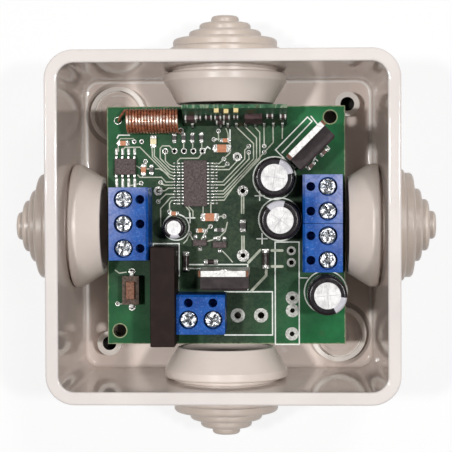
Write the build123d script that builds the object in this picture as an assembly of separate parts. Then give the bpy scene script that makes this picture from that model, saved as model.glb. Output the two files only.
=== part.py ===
from build123d import *
import os
from math import cos, pi, radians, sin, sqrt, tan

# Gate receiver: an open square junction box with four stepped cable grommets, and a
# circuit board held between the inner cones of the grommets.
# Millimetres. The origin is the centre of the box's back face, +Z points out of the open
# side, +X is right and +Y is the rear as the board is read. Places on the board are
# written as x, y from the board's centre and a height above its top face.

# Box
box_side = 70.0
box_height = 38.0
board_to_rim = 10.0
wall = 2.6
floor_thickness = 2.0
outer_draft = 0.5
inner_draft = 0.85
outer_corner_radius = 5.8
inner_corner_radius = 3.2
floor_fillet = 0.9
rim_rounding = 0.4
boss_beyond_board = 1.0
boss_radius = 2.65
boss_height = 3.5
mounting_hole_radius = 1.5
knockout_inside_board = 0.9

# Raised rings round the floor's two knockouts: outer radius, width and height
knockout_rings = [(6.05, 0.9, 1.7), (4.3, 0.3, 0.3), (2.8, 0.4, 0.5)]

# Grommets, measured along and about their own axis
grommet_height = 18.5
mouth_radius = 10.0
cone_radius = 12.8
band_length = 1.65
neck_radius = 11.0
neck_clearance = 0.15
flange_radius = 11.6
flange_length = 1.9
step_radii = [10.85, 7.55, 5.35, 2.9]
step_lengths = [1.8, 1.7, 1.6, 1.5]
grommet_wall = 1.15
grommet_rounding = 0.5
step_rounding = 0.75
grommet_root_rounding = 0.15
grommet_inner_rounding = 0.3
grommet_board_gap = 0.3
inner_seat_gap = 0.4
outer_seat_gap = 0.3

# Circuit board
board_thickness = 1.6
board_top = 16.5
board_hole_radius = 1.35
board_hole_insets = [(3.1, 2.4), (2.5, 2.8)]
lead_stickout = 1.5
hole_clearance = 0.1

# Empty holes: plug pads, the ends of the wide link, and the pads of the second relay and block
plug_pads = 5
plug_pitch = 1.98
plug_start = (-12.76, 15.6)
plug_hole_radius = 0.4
link_holes = [(3.55, 7.2), (3.55, -6.4)]
link_hole_radius = 0.5
spare_block_holes = [(2.4, -19.0), (7.3, -19.0)]
spare_block_hole_radius = 0.7
spare_relay_holes = [(13.7, -5.4), (13.7, -7.9), (13.9, -15.35), (13.9, -18.0), (13.8, -22.9)]
spare_relay_hole_radius = 0.5

# Terminal blocks: rising cages under captive screws, wires enter at the front
# The insets run from the board's edges to the centre of each screw row
way_pitch = 5.0
block_end_gap = 0.05
block_height = 10.0
block_front = 3.0
block_back = 5.1
block_chamfer = 0.5
block_floor = 0.8
chamber_width = 4.0
chamber_back = 2.4
shelf_bottom = 7.3
shelf_top = 7.9
screw_pocket_radius = 1.95
screw_head_radius = 1.62
screw_head_height = 1.5
screw_shank_radius = 1.2
screw_running_gap = 0.05
screw_slot_width = 0.55
screw_slot_depth = 0.8
screw_cross_length = 2.3
screw_head_rounding = 0.25
probe_hole_radius = 0.92
probe_hole_offset = 3.45
probe_hole_depth = 5.0
cage_travel = 2.0
cage_wall = 0.5
cage_floor = 0.6
cage_roof = 0.9
cage_depth = 4.2
cage_side_gap = 0.1
cage_lift_gap = 0.05
tongue_thickness = 0.7
tongue_width = 2.6
tongue_front = 1.9
tail_thickness = 0.8
tail_width = 1.0
tail_back = 3.4
left_block_inset = 4.35
left_block_y = 0.5
right_block_inset = 3.95
right_blocks_rear_end = 10.5
front_block_inset = 5.9
front_block_left_end = -9.9
screw_turns = {
    "left": [1, 1, -22],
    "right_rear": [-56, -30],
    "right_front": [18, -93],
    "front": [26, -28],
}

# Relay, standing on its narrow long side
relay_y = -14.3
relay_block_gap = 0.1
relay_length = 20.3
relay_width = 5.0
relay_height = 12.5
relay_wall = 0.4
relay_roof = 0.5
relay_base_thickness = 1.0
relay_standoff = 0.1
relay_fit = 0.05
relay_case_rounding = 0.25
relay_pin_places = [8.9, 6.4, 1.3, -4.0]
relay_pin_width = 1.0
relay_pin_thickness = 0.4
coil_place = 5.2
coil_radius = 1.8
coil_height = 7.0
core_radius = 0.8
core_top = 9.5
core_air_gap = 0.5
pivot_gap = 0.05
winding_gap = 0.05
tab_pin_stub = 1.2
yoke_margin = 0.8
yoke_thickness = 0.8
yoke_width = 3.4
yoke_end = 9.2
armature_thickness = 0.8
armature_width = 3.2
armature_front = 3.2
blade_thickness = 0.2
blade_width = 2.0
blade_front = -5.0
contact_radius = 0.8
contact_height = 0.6
contact_gap = 1.45

# Electrolytic capacitors: radius, height and how far apart the leads are, then their places
large_capacitor = (4.0, 11.8, 3.5)
small_capacitor = (2.3, 7.2, 1.8)
large_capacitor_places = [(10.2, 9.85), (11.35, 1.2)]
small_capacitor_place = (-10.5, -0.4)
corner_capacitor_edge_gap = 0.1
corner_capacitor_block_gap = 0.6
sleeve_thickness = 0.15
can_wall = 0.3
can_lift = 0.2
bung_height = 1.6
bead_depth = 0.25
bead_height = 2.2
can_lip = 0.28
bead_half = 0.5
bead_spread = 0.1
bead_rounding = 0.2
can_rounding = 0.5
can_inner_rounding = 0.3
sleeve_rounding = 0.6
vent_margin = 0.2
sleeve_fit = 0.02
lead_fit = 0.02
lead_rise = 0.4
bung_lift = 0.1
vent_width = 0.25
vent_depth = 0.12
capacitor_lead_radius = 0.3

# Power devices, standing on their leads: x and y of the middle of the tab's back, and turn
power_devices = [(0.05, -8.7, 0), (16.15, 17.6, 45)]
power_width = 9.8
power_body_height = 9.2
power_body_lift = 2.8
power_body_thickness = 3.1
power_body_chamfer = 0.4
tab_thickness = 1.15
tab_width = 10.0
tab_height = 15.7
tab_hole_radius = 1.9
tab_hole_drop = 2.8
tab_chamfer = 0.6
power_lead_pitch = 2.54
power_lead_back = 2.7
power_lead_thickness = 0.5
power_lead_width = 0.8
power_shoulder_width = 1.3
power_shoulder_height = 1.4

# Moulded chips
controller_place = (-6.4, 8.8)
controller_size = (4.9, 9.7, 1.0)
controller_leads = 14
controller_pitch = 0.65
controller_span = 6.9
memory_x = -21.1
memory_block_gap = 1.35
memory_capacitor_x = -21.6
memory_capacitor_gap = 1.45
memory_capacitor_size = (2.0, 1.0, 0.7)
memory_size = (4.4, 3.4, 1.4)
memory_leads = 4
memory_pitch = 1.27
memory_span = 6.0
chip_standoff = 0.1
chip_chamfer = 0.12
fine_lead = (0.25, 0.15)
memory_lead = (0.42, 0.2)
transistor_lead = (0.4, 0.15)
transistor_places = [(-1.35, -4.1), (-5.5, -3.7)]
transistor_size = (2.9, 1.3, 1.0)
transistor_pitch = 1.9
transistor_span = 2.4

# Receiver module, leaning back on its row of pins
receiver_width = 21.5
receiver_length = 10.5
receiver_thickness = 0.8
receiver_left = -8.65
receiver_foot_inset = 3.75
receiver_foot_lift = 0.6
receiver_lean = 17.0
receiver_pins = [-6.9, -0.95, 0.5, 2.3, 4.2, 6.2, 8.1, 10.0, 11.9]
receiver_pin_width = 0.5
receiver_pin_thickness = 0.3
receiver_pin_reach = 1.7
receiver_bend_share = 0.7
receiver_fit = 0.02
receiver_part_chamfer = 0.1
receiver_chip = (5.95, 5.5, 3.6, 3.4, 1.1)
receiver_small_parts = [
    (-7.0, 5.4, 2.2, 1.7, 0.9),
    (-5.35, 5.5, 0.8, 1.0, 0.6),
    (-3.3, 5.6, 1.2, 1.0, 0.6),
    (-1.4, 5.5, 1.2, 1.0, 0.6),
    (0.4, 5.6, 1.2, 1.0, 0.6),
    (2.3, 5.7, 0.8, 0.9, 0.5),
    (-1.0, 2.6, 1.6, 0.8, 0.6),
    (9.3, 6.3, 1.2, 1.0, 0.6),
    (12.0, 6.1, 1.1, 1.1, 0.7),
]

# Antenna coil; its two holes are measured across from the coil's axis
antenna_wire_radius = 0.275
antenna_radius = 2.35
antenna_pitch = 0.64
antenna_turns = 16.5
antenna_start_x = -20.4
antenna_inset = 3.25
antenna_board_gap = 0.425
antenna_start_hole = (-22.4, 0.25)
antenna_end_hole = (-9.45, -1.85)
antenna_lead_lift = 0.8

# Push button
button_place = (-19.9, -13.5)
button_base = (3.5, 6.0, 2.9)
button_cavity = (2.7, 4.4)
button_cavity_floor = 1.7
button_cover = 0.25
button_stem = (1.75, 3.6)
button_top = 4.3
button_flange = (2.4, 4.2, 0.6)
button_gap = 0.05
button_play = 0.1
button_rounding = 0.2
dome_radius = 1.25
dome_sheet = 0.1
button_lead_width = 0.7
button_lead_thickness = 0.3
button_lead_reach = 0.75
button_lead_lift = 0.5

# Small flat parts: x, y, length, width, height, turn about Z
brown_chips = [
    (-0.8, 16.1, 3.2, 1.6, 1.0, 0),
    (-3.4, 1.7, 3.2, 1.6, 1.0, 0),
    (-0.1, 17.8, 1.6, 0.8, 0.7, 0),
    (-11.0, 2.5, 1.6, 0.8, 0.7, 0),
    (-5.4, -1.1, 1.6, 0.8, 0.7, 0),
    (-17.3, 11.7, 2.0, 1.0, 0.7, 90),
]
black_chips = [
    (-15.65, 11.7, 1.6, 0.8, 0.5, 90),
    (-10.8, 18.4, 1.6, 0.8, 0.5, 90),
    (-8.85, 18.4, 1.6, 0.8, 0.5, 90),
    (-7.0, 18.4, 1.6, 0.8, 0.5, 90),
    (-5.1, 18.4, 1.6, 0.8, 0.5, 90),
    (-1.4, -1.0, 1.6, 0.8, 0.5, 0),
    (3.55, -0.15, 2.0, 1.25, 0.6, 90),
    (20.6, 15.2, 1.6, 0.8, 0.5, 45),
    (17.9, 12.4, 1.6, 0.8, 0.5, 45),
]
lamps = [(-15.2, 17.65, 2.0, 1.25, 0.8, 90)]
chip_end_share = 0.2

# Round diodes: x, y, length, radius, turn about Z
round_diodes = [
    (-8.4, -7.6, 3.5, 0.7, 90),
    (8.3, -7.1, 3.6, 0.75, 90),
    (-3.2, -7.75, 2.3, 0.6, 0),
]
diode_cap_length = 0.5
diode_glass_inset = 0.06

board_half = box_side / 2 - board_to_rim
board_bottom = board_top - board_thickness
lead_end = board_thickness + lead_stickout
board_holes = [
    (board_half - board_hole_insets[0][0], board_half - board_hole_insets[0][1]),
    (board_hole_insets[1][0] - board_half, board_hole_insets[1][1] - board_half),
]
boss_offset = board_half + boss_beyond_board
knockout_offset = board_half - knockout_inside_board
grommet_mouth = board_half + grommet_board_gap
receiver_foot_y = board_half - receiver_foot_inset
antenna_y = board_half - antenna_inset
antenna_lift = antenna_radius + antenna_wire_radius + antenna_board_gap

# Each block is the centre of its screw row, its number of ways and its turn about Z
blocks = {
    "left": (left_block_inset - board_half, left_block_y, 3, -90),
    "right_rear": (board_half - right_block_inset, right_blocks_rear_end - way_pitch, 2, 90),
    "right_front": (board_half - right_block_inset, right_blocks_rear_end - 3 * way_pitch, 2, 90),
    "front": (front_block_left_end + way_pitch, front_block_inset - board_half, 2, 0),
}
memory_place = (memory_x, left_block_y + 3 * way_pitch / 2 + memory_block_gap + memory_span / 2)
memory_capacitor_y = memory_place[1] + memory_span / 2 + memory_capacitor_gap + memory_capacitor_size[1] / 2
brown_chips.append((memory_capacitor_x, memory_capacitor_y, *memory_capacitor_size, 0))
relay_place = (front_block_left_end - relay_block_gap - relay_width / 2, relay_y)
right_blocks_front_end = right_blocks_rear_end - 4 * way_pitch
corner_capacitor_place = (
    board_half - corner_capacitor_edge_gap - large_capacitor[0],
    right_blocks_front_end - corner_capacitor_block_gap - large_capacitor[0],
)
capacitors = [place + large_capacitor for place in large_capacitor_places + [corner_capacitor_place]]
capacitors.append(small_capacitor_place + small_capacitor)
relay_pin_hole_radius = sqrt(relay_pin_width ** 2 + relay_pin_thickness ** 2) / 2 + hole_clearance
tail_hole_radius = sqrt(tail_width ** 2 + tail_thickness ** 2) / 2 + hole_clearance
power_hole_radius = sqrt(power_lead_width ** 2 + power_lead_thickness ** 2) / 2 + hole_clearance
receiver_hole_radius = sqrt(receiver_pin_width ** 2 + receiver_pin_thickness ** 2) / 2 + hole_clearance
button_hole_radius = sqrt(button_lead_width ** 2 + button_lead_thickness ** 2) / 2 + hole_clearance


def on_board(x, y, lift=0.0, turn=0.0):
    """A place on the board's top face, turned about Z."""
    return Pos(x, y, board_top + lift) * Rot(0, 0, turn)


def block_of(low, high):
    """A box between two corners."""
    size = [b - a for a, b in zip(low, high)]
    middle = [(a + b) / 2 for a, b in zip(low, high)]
    return Pos(*middle) * Box(*size)


def rod(radius, low, high, x=0.0, y=0.0):
    """An upright cylinder between two heights."""
    return Pos(x, y, (low + high) / 2) * Cylinder(radius, high - low)


def turned_point(x, y, place, turn):
    """Where a local point lands once its part is turned and placed."""
    angle = radians(turn)
    return (place[0] + x * cos(angle) - y * sin(angle), place[1] + x * sin(angle) + y * cos(angle))


def group(solids):
    """Separate solids kept in one node."""
    return Compound([piece for solid in solids for piece in solid.solids()])


def inner_side(z):
    """Distance between the inner wall faces at a height."""
    return box_side - 2 * wall - 2 * inner_draft * (box_height - z) / (box_height - floor_thickness)


def outer_side(z):
    """Distance between the outer wall faces at a height."""
    return box_side - 2 * outer_draft * (box_height - z) / box_height


def tapered_square(side_at, low, high, corner):
    """An upright square prism with round corners, whose side changes with height."""
    sections = [Pos(0, 0, z) * RectangleRounded(side_at(z), side_at(z), corner) for z in (low, high)]
    return loft([section.face() for section in sections])


def box_shell():
    shell = tapered_square(outer_side, 0, box_height, outer_corner_radius)
    shell = fillet(shell.edges().group_by(Axis.Z)[0], rim_rounding)
    hollow = tapered_square(inner_side, floor_thickness, box_height + 1, inner_corner_radius)
    hollow = fillet(hollow.edges().group_by(Axis.Z)[0], floor_fillet)
    shell -= hollow
    shell = fillet(shell.edges().group_by(Axis.Z)[-1], rim_rounding)
    hole_radius = neck_radius + neck_clearance
    crossing = Pos(0, 0, grommet_height) * Rot(0, 90, 0) * Cylinder(hole_radius, box_side + 10)
    for turn in (0, 90):
        shell -= Rot(0, 0, turn) * crossing
    for side in (-1, 1):
        x = y = side * boss_offset
        shell += rod(boss_radius, floor_thickness / 2, floor_thickness + boss_height, x, y)
        shell -= rod(mounting_hole_radius, -1, floor_thickness + boss_height + 1, x, y)
        for radius, width, height in knockout_rings:
            ring = rod(radius, floor_thickness / 2, floor_thickness + height)
            ring -= rod(radius - width, 0, box_height)
            shell += Pos(side * knockout_offset, -side * knockout_offset, 0) * ring
    return shell


def grommet(turn):
    """A hollow stepped plug, turned about the grommet axis along +X."""
    band_back = inner_side(grommet_height) / 2 - inner_seat_gap
    flange_start = outer_side(grommet_height) / 2 + outer_seat_gap
    cone_end = band_back - band_length
    inset = grommet_wall
    outer = [(grommet_mouth, mouth_radius, grommet_inner_rounding), (cone_end, cone_radius, grommet_rounding)]
    outer += [(band_back, cone_radius, grommet_rounding), (band_back, neck_radius, 0)]
    outer += [(flange_start, neck_radius, 0), (flange_start, flange_radius, grommet_root_rounding)]
    bore = min(neck_radius, step_radii[0]) - inset
    inner = [(grommet_mouth, mouth_radius - inset, grommet_root_rounding)]
    inner += [(cone_end, cone_radius - inset, grommet_rounding)]
    inner += [(cone_end + band_length / 2, bore, grommet_inner_rounding)]
    x = flange_start + flange_length
    outer += [(x, flange_radius, grommet_rounding), (x, step_radii[0], grommet_root_rounding)]
    for index, length in enumerate(step_lengths):
        x += length
        bore = step_radii[index] - inset
        outer.append((x, step_radii[index], step_rounding))
        inner.append((x - inset, bore, grommet_inner_rounding))
        if index + 1 < len(step_radii):
            outer.append((x, step_radii[index + 1], grommet_root_rounding))
            inner.append((x - inset, step_radii[index + 1] - inset, 0))
    outer.append((x, 0, 0))
    inner.append((x - inset, 0, 0))
    corners = outer + inner[::-1]
    outline = FilletPolyline(
        *[(x, y) for x, y, _ in corners], radius=[r for _, _, r in corners], close=True
    )
    body = revolve(make_face(outline), Axis.X)
    return Rot(0, 0, turn) * Pos(0, 0, grommet_height) * body


def way_offsets(ways):
    """Where the ways lie along a block's own X."""
    return [(index - (ways - 1) / 2) * way_pitch for index in range(ways)]


def block_place(name):
    x, y, _, turn = blocks[name]
    return on_board(x, y, 0, turn)


def tail_places(name):
    """Board holes of a block's tails."""
    x, y, ways, turn = blocks[name]
    tail_y = tail_back - tail_thickness / 2
    return [turned_point(way, tail_y, (x, y), turn) for way in way_offsets(ways)]


def cage_height():
    return cage_floor + tongue_thickness + cage_travel + 3 * cage_lift_gap + cage_roof


def tongue_top():
    """Height of the contact tongue's upper face inside a lowered cage."""
    return block_floor + cage_lift_gap + cage_height() - cage_roof - 2 * cage_lift_gap


def terminal_housing(name):
    ways = blocks[name][2]
    half = ways * way_pitch / 2 - block_end_gap
    body = block_of((-half, -block_front, 0), (half, block_back, block_height))
    top_edges = body.edges().filter_by(Axis.X).group_by(Axis.Z)[-1]
    body = chamfer(top_edges.sort_by(Axis.Y)[-1:], block_chamfer)
    slot_half = tongue_width / 2 + cage_side_gap
    for x in way_offsets(ways):
        body -= block_of((x - chamber_width / 2, -block_front - 1, block_floor),
                         (x + chamber_width / 2, chamber_back, shelf_bottom))
        body -= block_of((x - slot_half, chamber_back - 1, -1),
                         (x + slot_half, tail_back + hole_clearance, tongue_top() + hole_clearance))
        body -= rod(screw_shank_radius + screw_running_gap * 2, shelf_bottom - 1, block_height, x)
        body -= rod(screw_pocket_radius, shelf_top, block_height + 1, x)
        probe_floor = block_height - probe_hole_depth
        body -= rod(probe_hole_radius, probe_floor, block_height + 1, x, probe_hole_offset)
    return block_place(name) * body


def terminal_contact(x):
    """The fixed tongue inside one cage, with its tail through the board."""
    half = tongue_width / 2
    top = tongue_top()
    contact = block_of((x - half, -tongue_front, top - tongue_thickness), (x + half, tail_back, top))
    tail_half = tail_width / 2
    contact += block_of((x - tail_half, tail_back - tail_thickness, -lead_end),
                        (x + tail_half, tail_back, top))
    return contact


def terminal_contacts():
    return group([block_place(name) * terminal_contact(x)
                  for name in blocks for x in way_offsets(blocks[name][2])])


def clamp_screw(name, way):
    x = way_offsets(blocks[name][2])[way]
    head_bottom = shelf_top + screw_running_gap
    head_top = head_bottom + screw_head_height
    tip = tongue_top() + 3 * cage_lift_gap
    head = rod(screw_head_radius, head_bottom, head_top)
    head = fillet(head.edges().group_by(Axis.Z)[-1], screw_head_rounding)
    slot = block_of((-screw_head_radius - 1, -screw_slot_width / 2, head_top - screw_slot_depth),
                    (screw_head_radius + 1, screw_slot_width / 2, head_top + 1))
    cross = block_of((-screw_slot_width / 2, -screw_cross_length / 2, head_top - screw_slot_depth),
                     (screw_slot_width / 2, screw_cross_length / 2, head_top + 1))
    screw = head + rod(screw_shank_radius, tip, head_bottom) - slot - cross
    return block_place(name) * Pos(x, 0, 0) * Rot(0, 0, screw_turns[name][way]) * screw


def clamp_cage(name, way):
    x = way_offsets(blocks[name][2])[way]
    half = chamber_width / 2 - cage_side_gap
    low = block_floor + cage_lift_gap
    high = low + cage_height()
    cage = block_of((-half, -cage_depth / 2, low), (half, cage_depth / 2, high))
    inside = half - cage_wall
    cage -= block_of((-inside, -cage_depth, low + cage_floor), (inside, cage_depth, high - cage_roof))
    cage -= rod(screw_shank_radius + screw_running_gap, high - cage_roof - 1, high + 1)
    return block_place(name) * Pos(x, 0, 0) * cage


def relay_point(along):
    """A point along the relay, whose own X runs towards the rear of the board."""
    return relay_place[0], relay_place[1] + along


def relay_case():
    half = (relay_width / 2, relay_length / 2)
    case = block_of((-half[0], -half[1], relay_standoff), (half[0], half[1], relay_height))
    case = fillet(case.edges().group_by(Axis.Z)[-1] + case.edges().filter_by(Axis.Z), relay_case_rounding)
    inside = (half[0] - relay_wall, half[1] - relay_wall)
    case -= block_of((-inside[0], -inside[1], -1), (inside[0], inside[1], relay_height - relay_roof))
    return on_board(*relay_place) * case


def relay_base():
    half_x = relay_width / 2 - relay_wall - relay_fit
    half_y = relay_length / 2 - relay_wall - relay_fit
    top = relay_standoff + relay_base_thickness
    base = block_of((-half_x, -half_y, relay_standoff), (half_x, half_y, top))
    slot = (relay_pin_width / 2 + relay_fit, relay_pin_thickness / 2 + relay_fit)
    for along in relay_pin_places:
        base -= block_of((-slot[0], along - slot[1], -1), (slot[0], along + slot[1], top + 1))
    return on_board(*relay_place) * base


def contact_plane():
    """Height of the fixed contact's upper face."""
    return blade_bottom() - contact_height - contact_gap


def armature_bottom():
    return yoke_top() + pivot_gap


def blade_bottom():
    return armature_bottom() + armature_thickness


def yoke_top():
    return core_top + core_air_gap


def relay_pins():
    base_top = relay_standoff + relay_base_thickness
    tops = [base_top, base_top, base_top + tab_pin_stub, contact_plane() - contact_height]
    pins = []
    for along, top in zip(relay_pin_places, tops):
        low = (-relay_pin_width / 2, along - relay_pin_thickness / 2, -lead_end)
        high = (relay_pin_width / 2, along + relay_pin_thickness / 2, top)
        pins.append(block_of(low, high))
    rivet_low = contact_plane() - contact_height
    pins[-1] += rod(contact_radius, rivet_low, contact_plane(), 0, relay_pin_places[-1])
    return on_board(*relay_place) * group(pins)


def relay_yoke():
    """The iron frame with the core that carries the coil."""
    low = relay_standoff + relay_base_thickness
    half = yoke_width / 2
    front = coil_place - coil_radius - yoke_margin
    plate = block_of((-half, front, low), (half, yoke_end, low + yoke_thickness))
    leg = block_of((-half, yoke_end - yoke_thickness, low), (half, yoke_end, yoke_top()))
    return on_board(*relay_place) * (plate + leg + rod(core_radius, low, core_top, 0, coil_place))


def relay_coil():
    low = relay_standoff + relay_base_thickness + yoke_thickness + winding_gap
    winding = rod(coil_radius, low, low + coil_height, 0, coil_place)
    winding -= rod(core_radius + winding_gap, low - 1, low + coil_height + 1, 0, coil_place)
    return on_board(*relay_place) * winding


def relay_armature():
    """The rocking iron plate with its contact blade, pivoting on the yoke's inner top edge."""
    low = armature_bottom()
    half = armature_width / 2
    plate = block_of((-half, armature_front, low), (half, yoke_end, blade_bottom()))
    blade = block_of((-blade_width / 2, blade_front, blade_bottom()),
                     (blade_width / 2, yoke_end - yoke_thickness, blade_bottom() + blade_thickness))
    rivet = rod(contact_radius, blade_bottom() - contact_height, blade_bottom(), 0, relay_pin_places[-1])
    return on_board(*relay_place) * (plate + blade + rivet)


def capacitor_can(radius, height, spread):
    """The aluminium cup with its crimped bead, open at the bottom round the bung."""
    outer = radius - sleeve_thickness
    inner = outer - can_wall
    inner_half = bead_half + bead_spread
    corners = [(0, height, 0), (outer, height, can_rounding), (outer, bead_height + bead_half, 0)]
    corners += [(outer - bead_depth, bead_height, bead_rounding), (outer, bead_height - bead_half, 0)]
    corners += [(outer, can_lift, 0), (inner, can_lift, 0), (inner, bead_height - inner_half, 0)]
    corners += [(inner - bead_depth, bead_height, bead_rounding), (inner, bead_height + inner_half, 0)]
    corners += [(inner, height - can_wall, can_inner_rounding), (0, height - can_wall, 0)]
    outline = FilletPolyline(*[(x, z) for x, z, _ in corners], radius=[r for _, _, r in corners], close=True)
    can = revolve(Rot(90, 0, 0) * make_face(outline), Axis.Z)
    reach = 2 * (radius - sleeve_thickness - can_lip * radius - vent_margin)
    for turn in (0, 90):
        can -= Pos(0, 0, height) * Rot(0, 0, turn) * Box(reach, vent_width, 2 * vent_depth)
    return can


def capacitor_sleeve(radius, height, spread):
    """The shrunk plastic sleeve, with its lip over the can's top edge."""
    lip = radius - sleeve_thickness - can_lip * radius
    top = height + sleeve_thickness
    inner = radius - sleeve_thickness + sleeve_fit
    under = height + sleeve_fit
    corners = [(radius, can_lift, 0), (radius, top, sleeve_rounding), (lip, top, 0), (lip, under, 0)]
    corners += [(inner, under, can_rounding), (inner, can_lift, 0)]
    outline = FilletPolyline(*[(x, z) for x, z, _ in corners], radius=[r for _, _, r in corners], close=True)
    return revolve(Rot(90, 0, 0) * make_face(outline), Axis.Z)


def capacitor_bung(radius, height, spread):
    outer = radius - sleeve_thickness - can_wall - sleeve_fit
    bung = rod(outer, bung_lift, bung_height)
    for side in (-1, 1):
        bung -= rod(capacitor_lead_radius + lead_fit, -1, bung_height + 1, side * spread / 2)
    return bung


def capacitor_leads(radius, height, spread):
    top = bung_height + lead_rise
    return group([rod(capacitor_lead_radius, -lead_end, top, side * spread / 2) for side in (-1, 1)])


def power_body(x, y, turn):
    """The moulded body, in front of the tab."""
    half = power_width / 2
    front = -tab_thickness - power_body_thickness
    top = power_body_lift + power_body_height
    body = block_of((-half, front, power_body_lift), (half, -tab_thickness, top))
    edges = body.edges().filter_by(Axis.X).group_by(Axis.Y)[0]
    edges += body.edges().filter_by(Axis.Z).group_by(Axis.Y)[0]
    return on_board(x, y, 0, turn) * chamfer(edges, power_body_chamfer)


def power_leadframe(x, y, turn):
    """The metal tab and the three leads."""
    half = tab_width / 2
    top = power_body_lift + tab_height
    tab = block_of((-half, -tab_thickness, power_body_lift), (half, 0, top))
    tab = chamfer(tab.edges().filter_by(Axis.Y).group_by(Axis.Z)[-1], tab_chamfer)
    tab -= Pos(0, 0, top - tab_hole_drop) * Rot(90, 0, 0) * Cylinder(tab_hole_radius, 4 * tab_thickness)
    pieces = [tab]
    back = -power_lead_back + power_lead_thickness / 2
    front = back - power_lead_thickness
    for step in (-1, 0, 1):
        middle = step * power_lead_pitch
        lead = block_of((middle - power_lead_width / 2, front, -lead_end),
                        (middle + power_lead_width / 2, back, power_body_lift))
        lead += block_of((middle - power_shoulder_width / 2, front, power_body_lift - power_shoulder_height),
                         (middle + power_shoulder_width / 2, back, power_body_lift))
        pieces.append(lead)
    return on_board(x, y, 0, turn) * group(pieces)


def power_lead_places():
    return [turned_point(step * power_lead_pitch, -power_lead_back, (x, y), turn)
            for x, y, turn in power_devices for step in (-1, 0, 1)]


def moulded_body(size):
    """A low moulded package with chamfered upper edges."""
    top = chip_standoff + size[2]
    body = block_of((-size[0] / 2, -size[1] / 2, chip_standoff), (size[0] / 2, size[1] / 2, top))
    return chamfer(body.edges().group_by(Axis.Z)[-1], chip_chamfer)


def gull_lead(inner, outer, height, width, sheet):
    """One bent lead, from a package's side at X inner down to its foot at X outer."""
    bend = inner + 0.35 * (outer - inner)
    half = sheet / 2
    corners = [(inner, height - half), (inner, height + half), (bend, height + half)]
    corners += [(bend + 1.6 * sheet, sheet), (outer, sheet), (outer, 0)]
    corners += [(bend + 0.8 * sheet, 0), (bend - half, height - half)]
    profile = Rot(90, 0, 0) * make_face(Polyline(*corners, close=True))
    return extrude(profile, width / 2, both=True)


def lead_row(count, pitch, lead):
    """A row of equal leads along Y."""
    return [Pos(0, (index - (count - 1) / 2) * pitch, 0) * lead for index in range(count)]


def controller_lead_group():
    middle = chip_standoff + controller_size[2] / 2
    lead = gull_lead(controller_size[0] / 2, controller_span / 2, middle, *fine_lead)
    row = lead_row(controller_leads, controller_pitch, lead)
    row += [Rot(0, 0, 180) * piece for piece in row]
    return on_board(*controller_place) * group(row)


def small_chip_lead_group():
    """Leads of the memory chip and of the two small transistors."""
    middle = chip_standoff + memory_size[2] / 2
    lead = gull_lead(memory_size[1] / 2, memory_span / 2, middle, *memory_lead)
    row = lead_row(memory_leads, memory_pitch, lead)
    pieces = [on_board(*memory_place, 0, turn) * piece for turn in (90, -90) for piece in row]
    middle = chip_standoff + transistor_size[2] / 2
    lead = gull_lead(transistor_size[1] / 2, transistor_span / 2, middle, *transistor_lead)
    for x, y in transistor_places:
        pieces += [on_board(x, y, 0, 90) * piece for piece in lead_row(2, transistor_pitch, lead)]
        pieces.append(on_board(x, y, 0, -90) * lead)
    return group(pieces)


def small_chip_bodies():
    bodies = [on_board(*memory_place) * moulded_body(memory_size)]
    bodies += [on_board(x, y) * moulded_body(transistor_size) for x, y in transistor_places]
    return group(bodies)


def on_receiver(x, along, lift=0.0):
    """A place on the leaning module's front face: across, up along it, and out from it."""
    foot = Pos(x, receiver_foot_y, board_top + receiver_foot_lift)
    return foot * Rot(-receiver_lean, 0, 0) * Pos(0, -receiver_thickness / 2 - lift, along)


def receiver_board():
    middle = receiver_left + receiver_width / 2
    plate = Pos(0, receiver_thickness / 2, receiver_length / 2)
    return on_receiver(middle, 0) * plate * Box(receiver_width, receiver_thickness, receiver_length)


def receiver_parts():
    """The module's own chip and the small parts round it, on its front face."""
    parts = []
    for x, along, width, height, depth in [receiver_chip] + receiver_small_parts:
        part = Box(width, depth, height)
        part = chamfer(part.edges().group_by(Axis.Y)[0], receiver_part_chamfer)
        parts.append(on_receiver(x, along, depth / 2) * part)
    return group(parts)


def receiver_pin_group():
    """Flat pins: upright through the board, then leaning up the module's front face."""
    lean = radians(receiver_lean)
    face_y = receiver_foot_y - receiver_thickness / 2 / cos(lean)
    low = receiver_foot_lift * receiver_bend_share
    high = receiver_foot_lift + receiver_pin_reach
    front = receiver_pin_thickness
    slope = tan(lean)
    back_low = face_y - receiver_fit + (low - receiver_foot_lift) * slope
    back_high = face_y - receiver_fit + (high - receiver_foot_lift) * slope
    corners = [(back_low, -lead_end), (back_low, low), (back_high, high), (back_high - front, high)]
    corners += [(back_low - front, low), (back_low - front, -lead_end)]
    face = Rot(0, 0, 90) * Rot(90, 0, 0) * make_face(Polyline(*corners, close=True))
    pin = extrude(face, receiver_pin_width / 2, both=True)
    return group([on_board(x, 0) * pin for x in receiver_pins])


def receiver_pin_y():
    """The Y of the pins' upright part."""
    lean = radians(receiver_lean)
    back = receiver_foot_y - receiver_thickness / 2 / cos(lean)
    drop = receiver_foot_lift * (1 - receiver_bend_share) * tan(lean)
    return back - drop - receiver_pin_thickness / 2


def helix_point(turns):
    """A point on the coil, which starts at its rear side and climbs over the top."""
    angle = 2 * pi * turns
    x = antenna_start_x + antenna_pitch * turns
    return Vector(x, antenna_y + antenna_radius * cos(angle), antenna_lift + antenna_radius * sin(angle))


def helix_tangent(turns):
    angle = 2 * pi * turns
    rise = antenna_pitch / (2 * pi)
    return Vector(rise, -antenna_radius * sin(angle), antenna_radius * cos(angle)).normalized()


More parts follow.
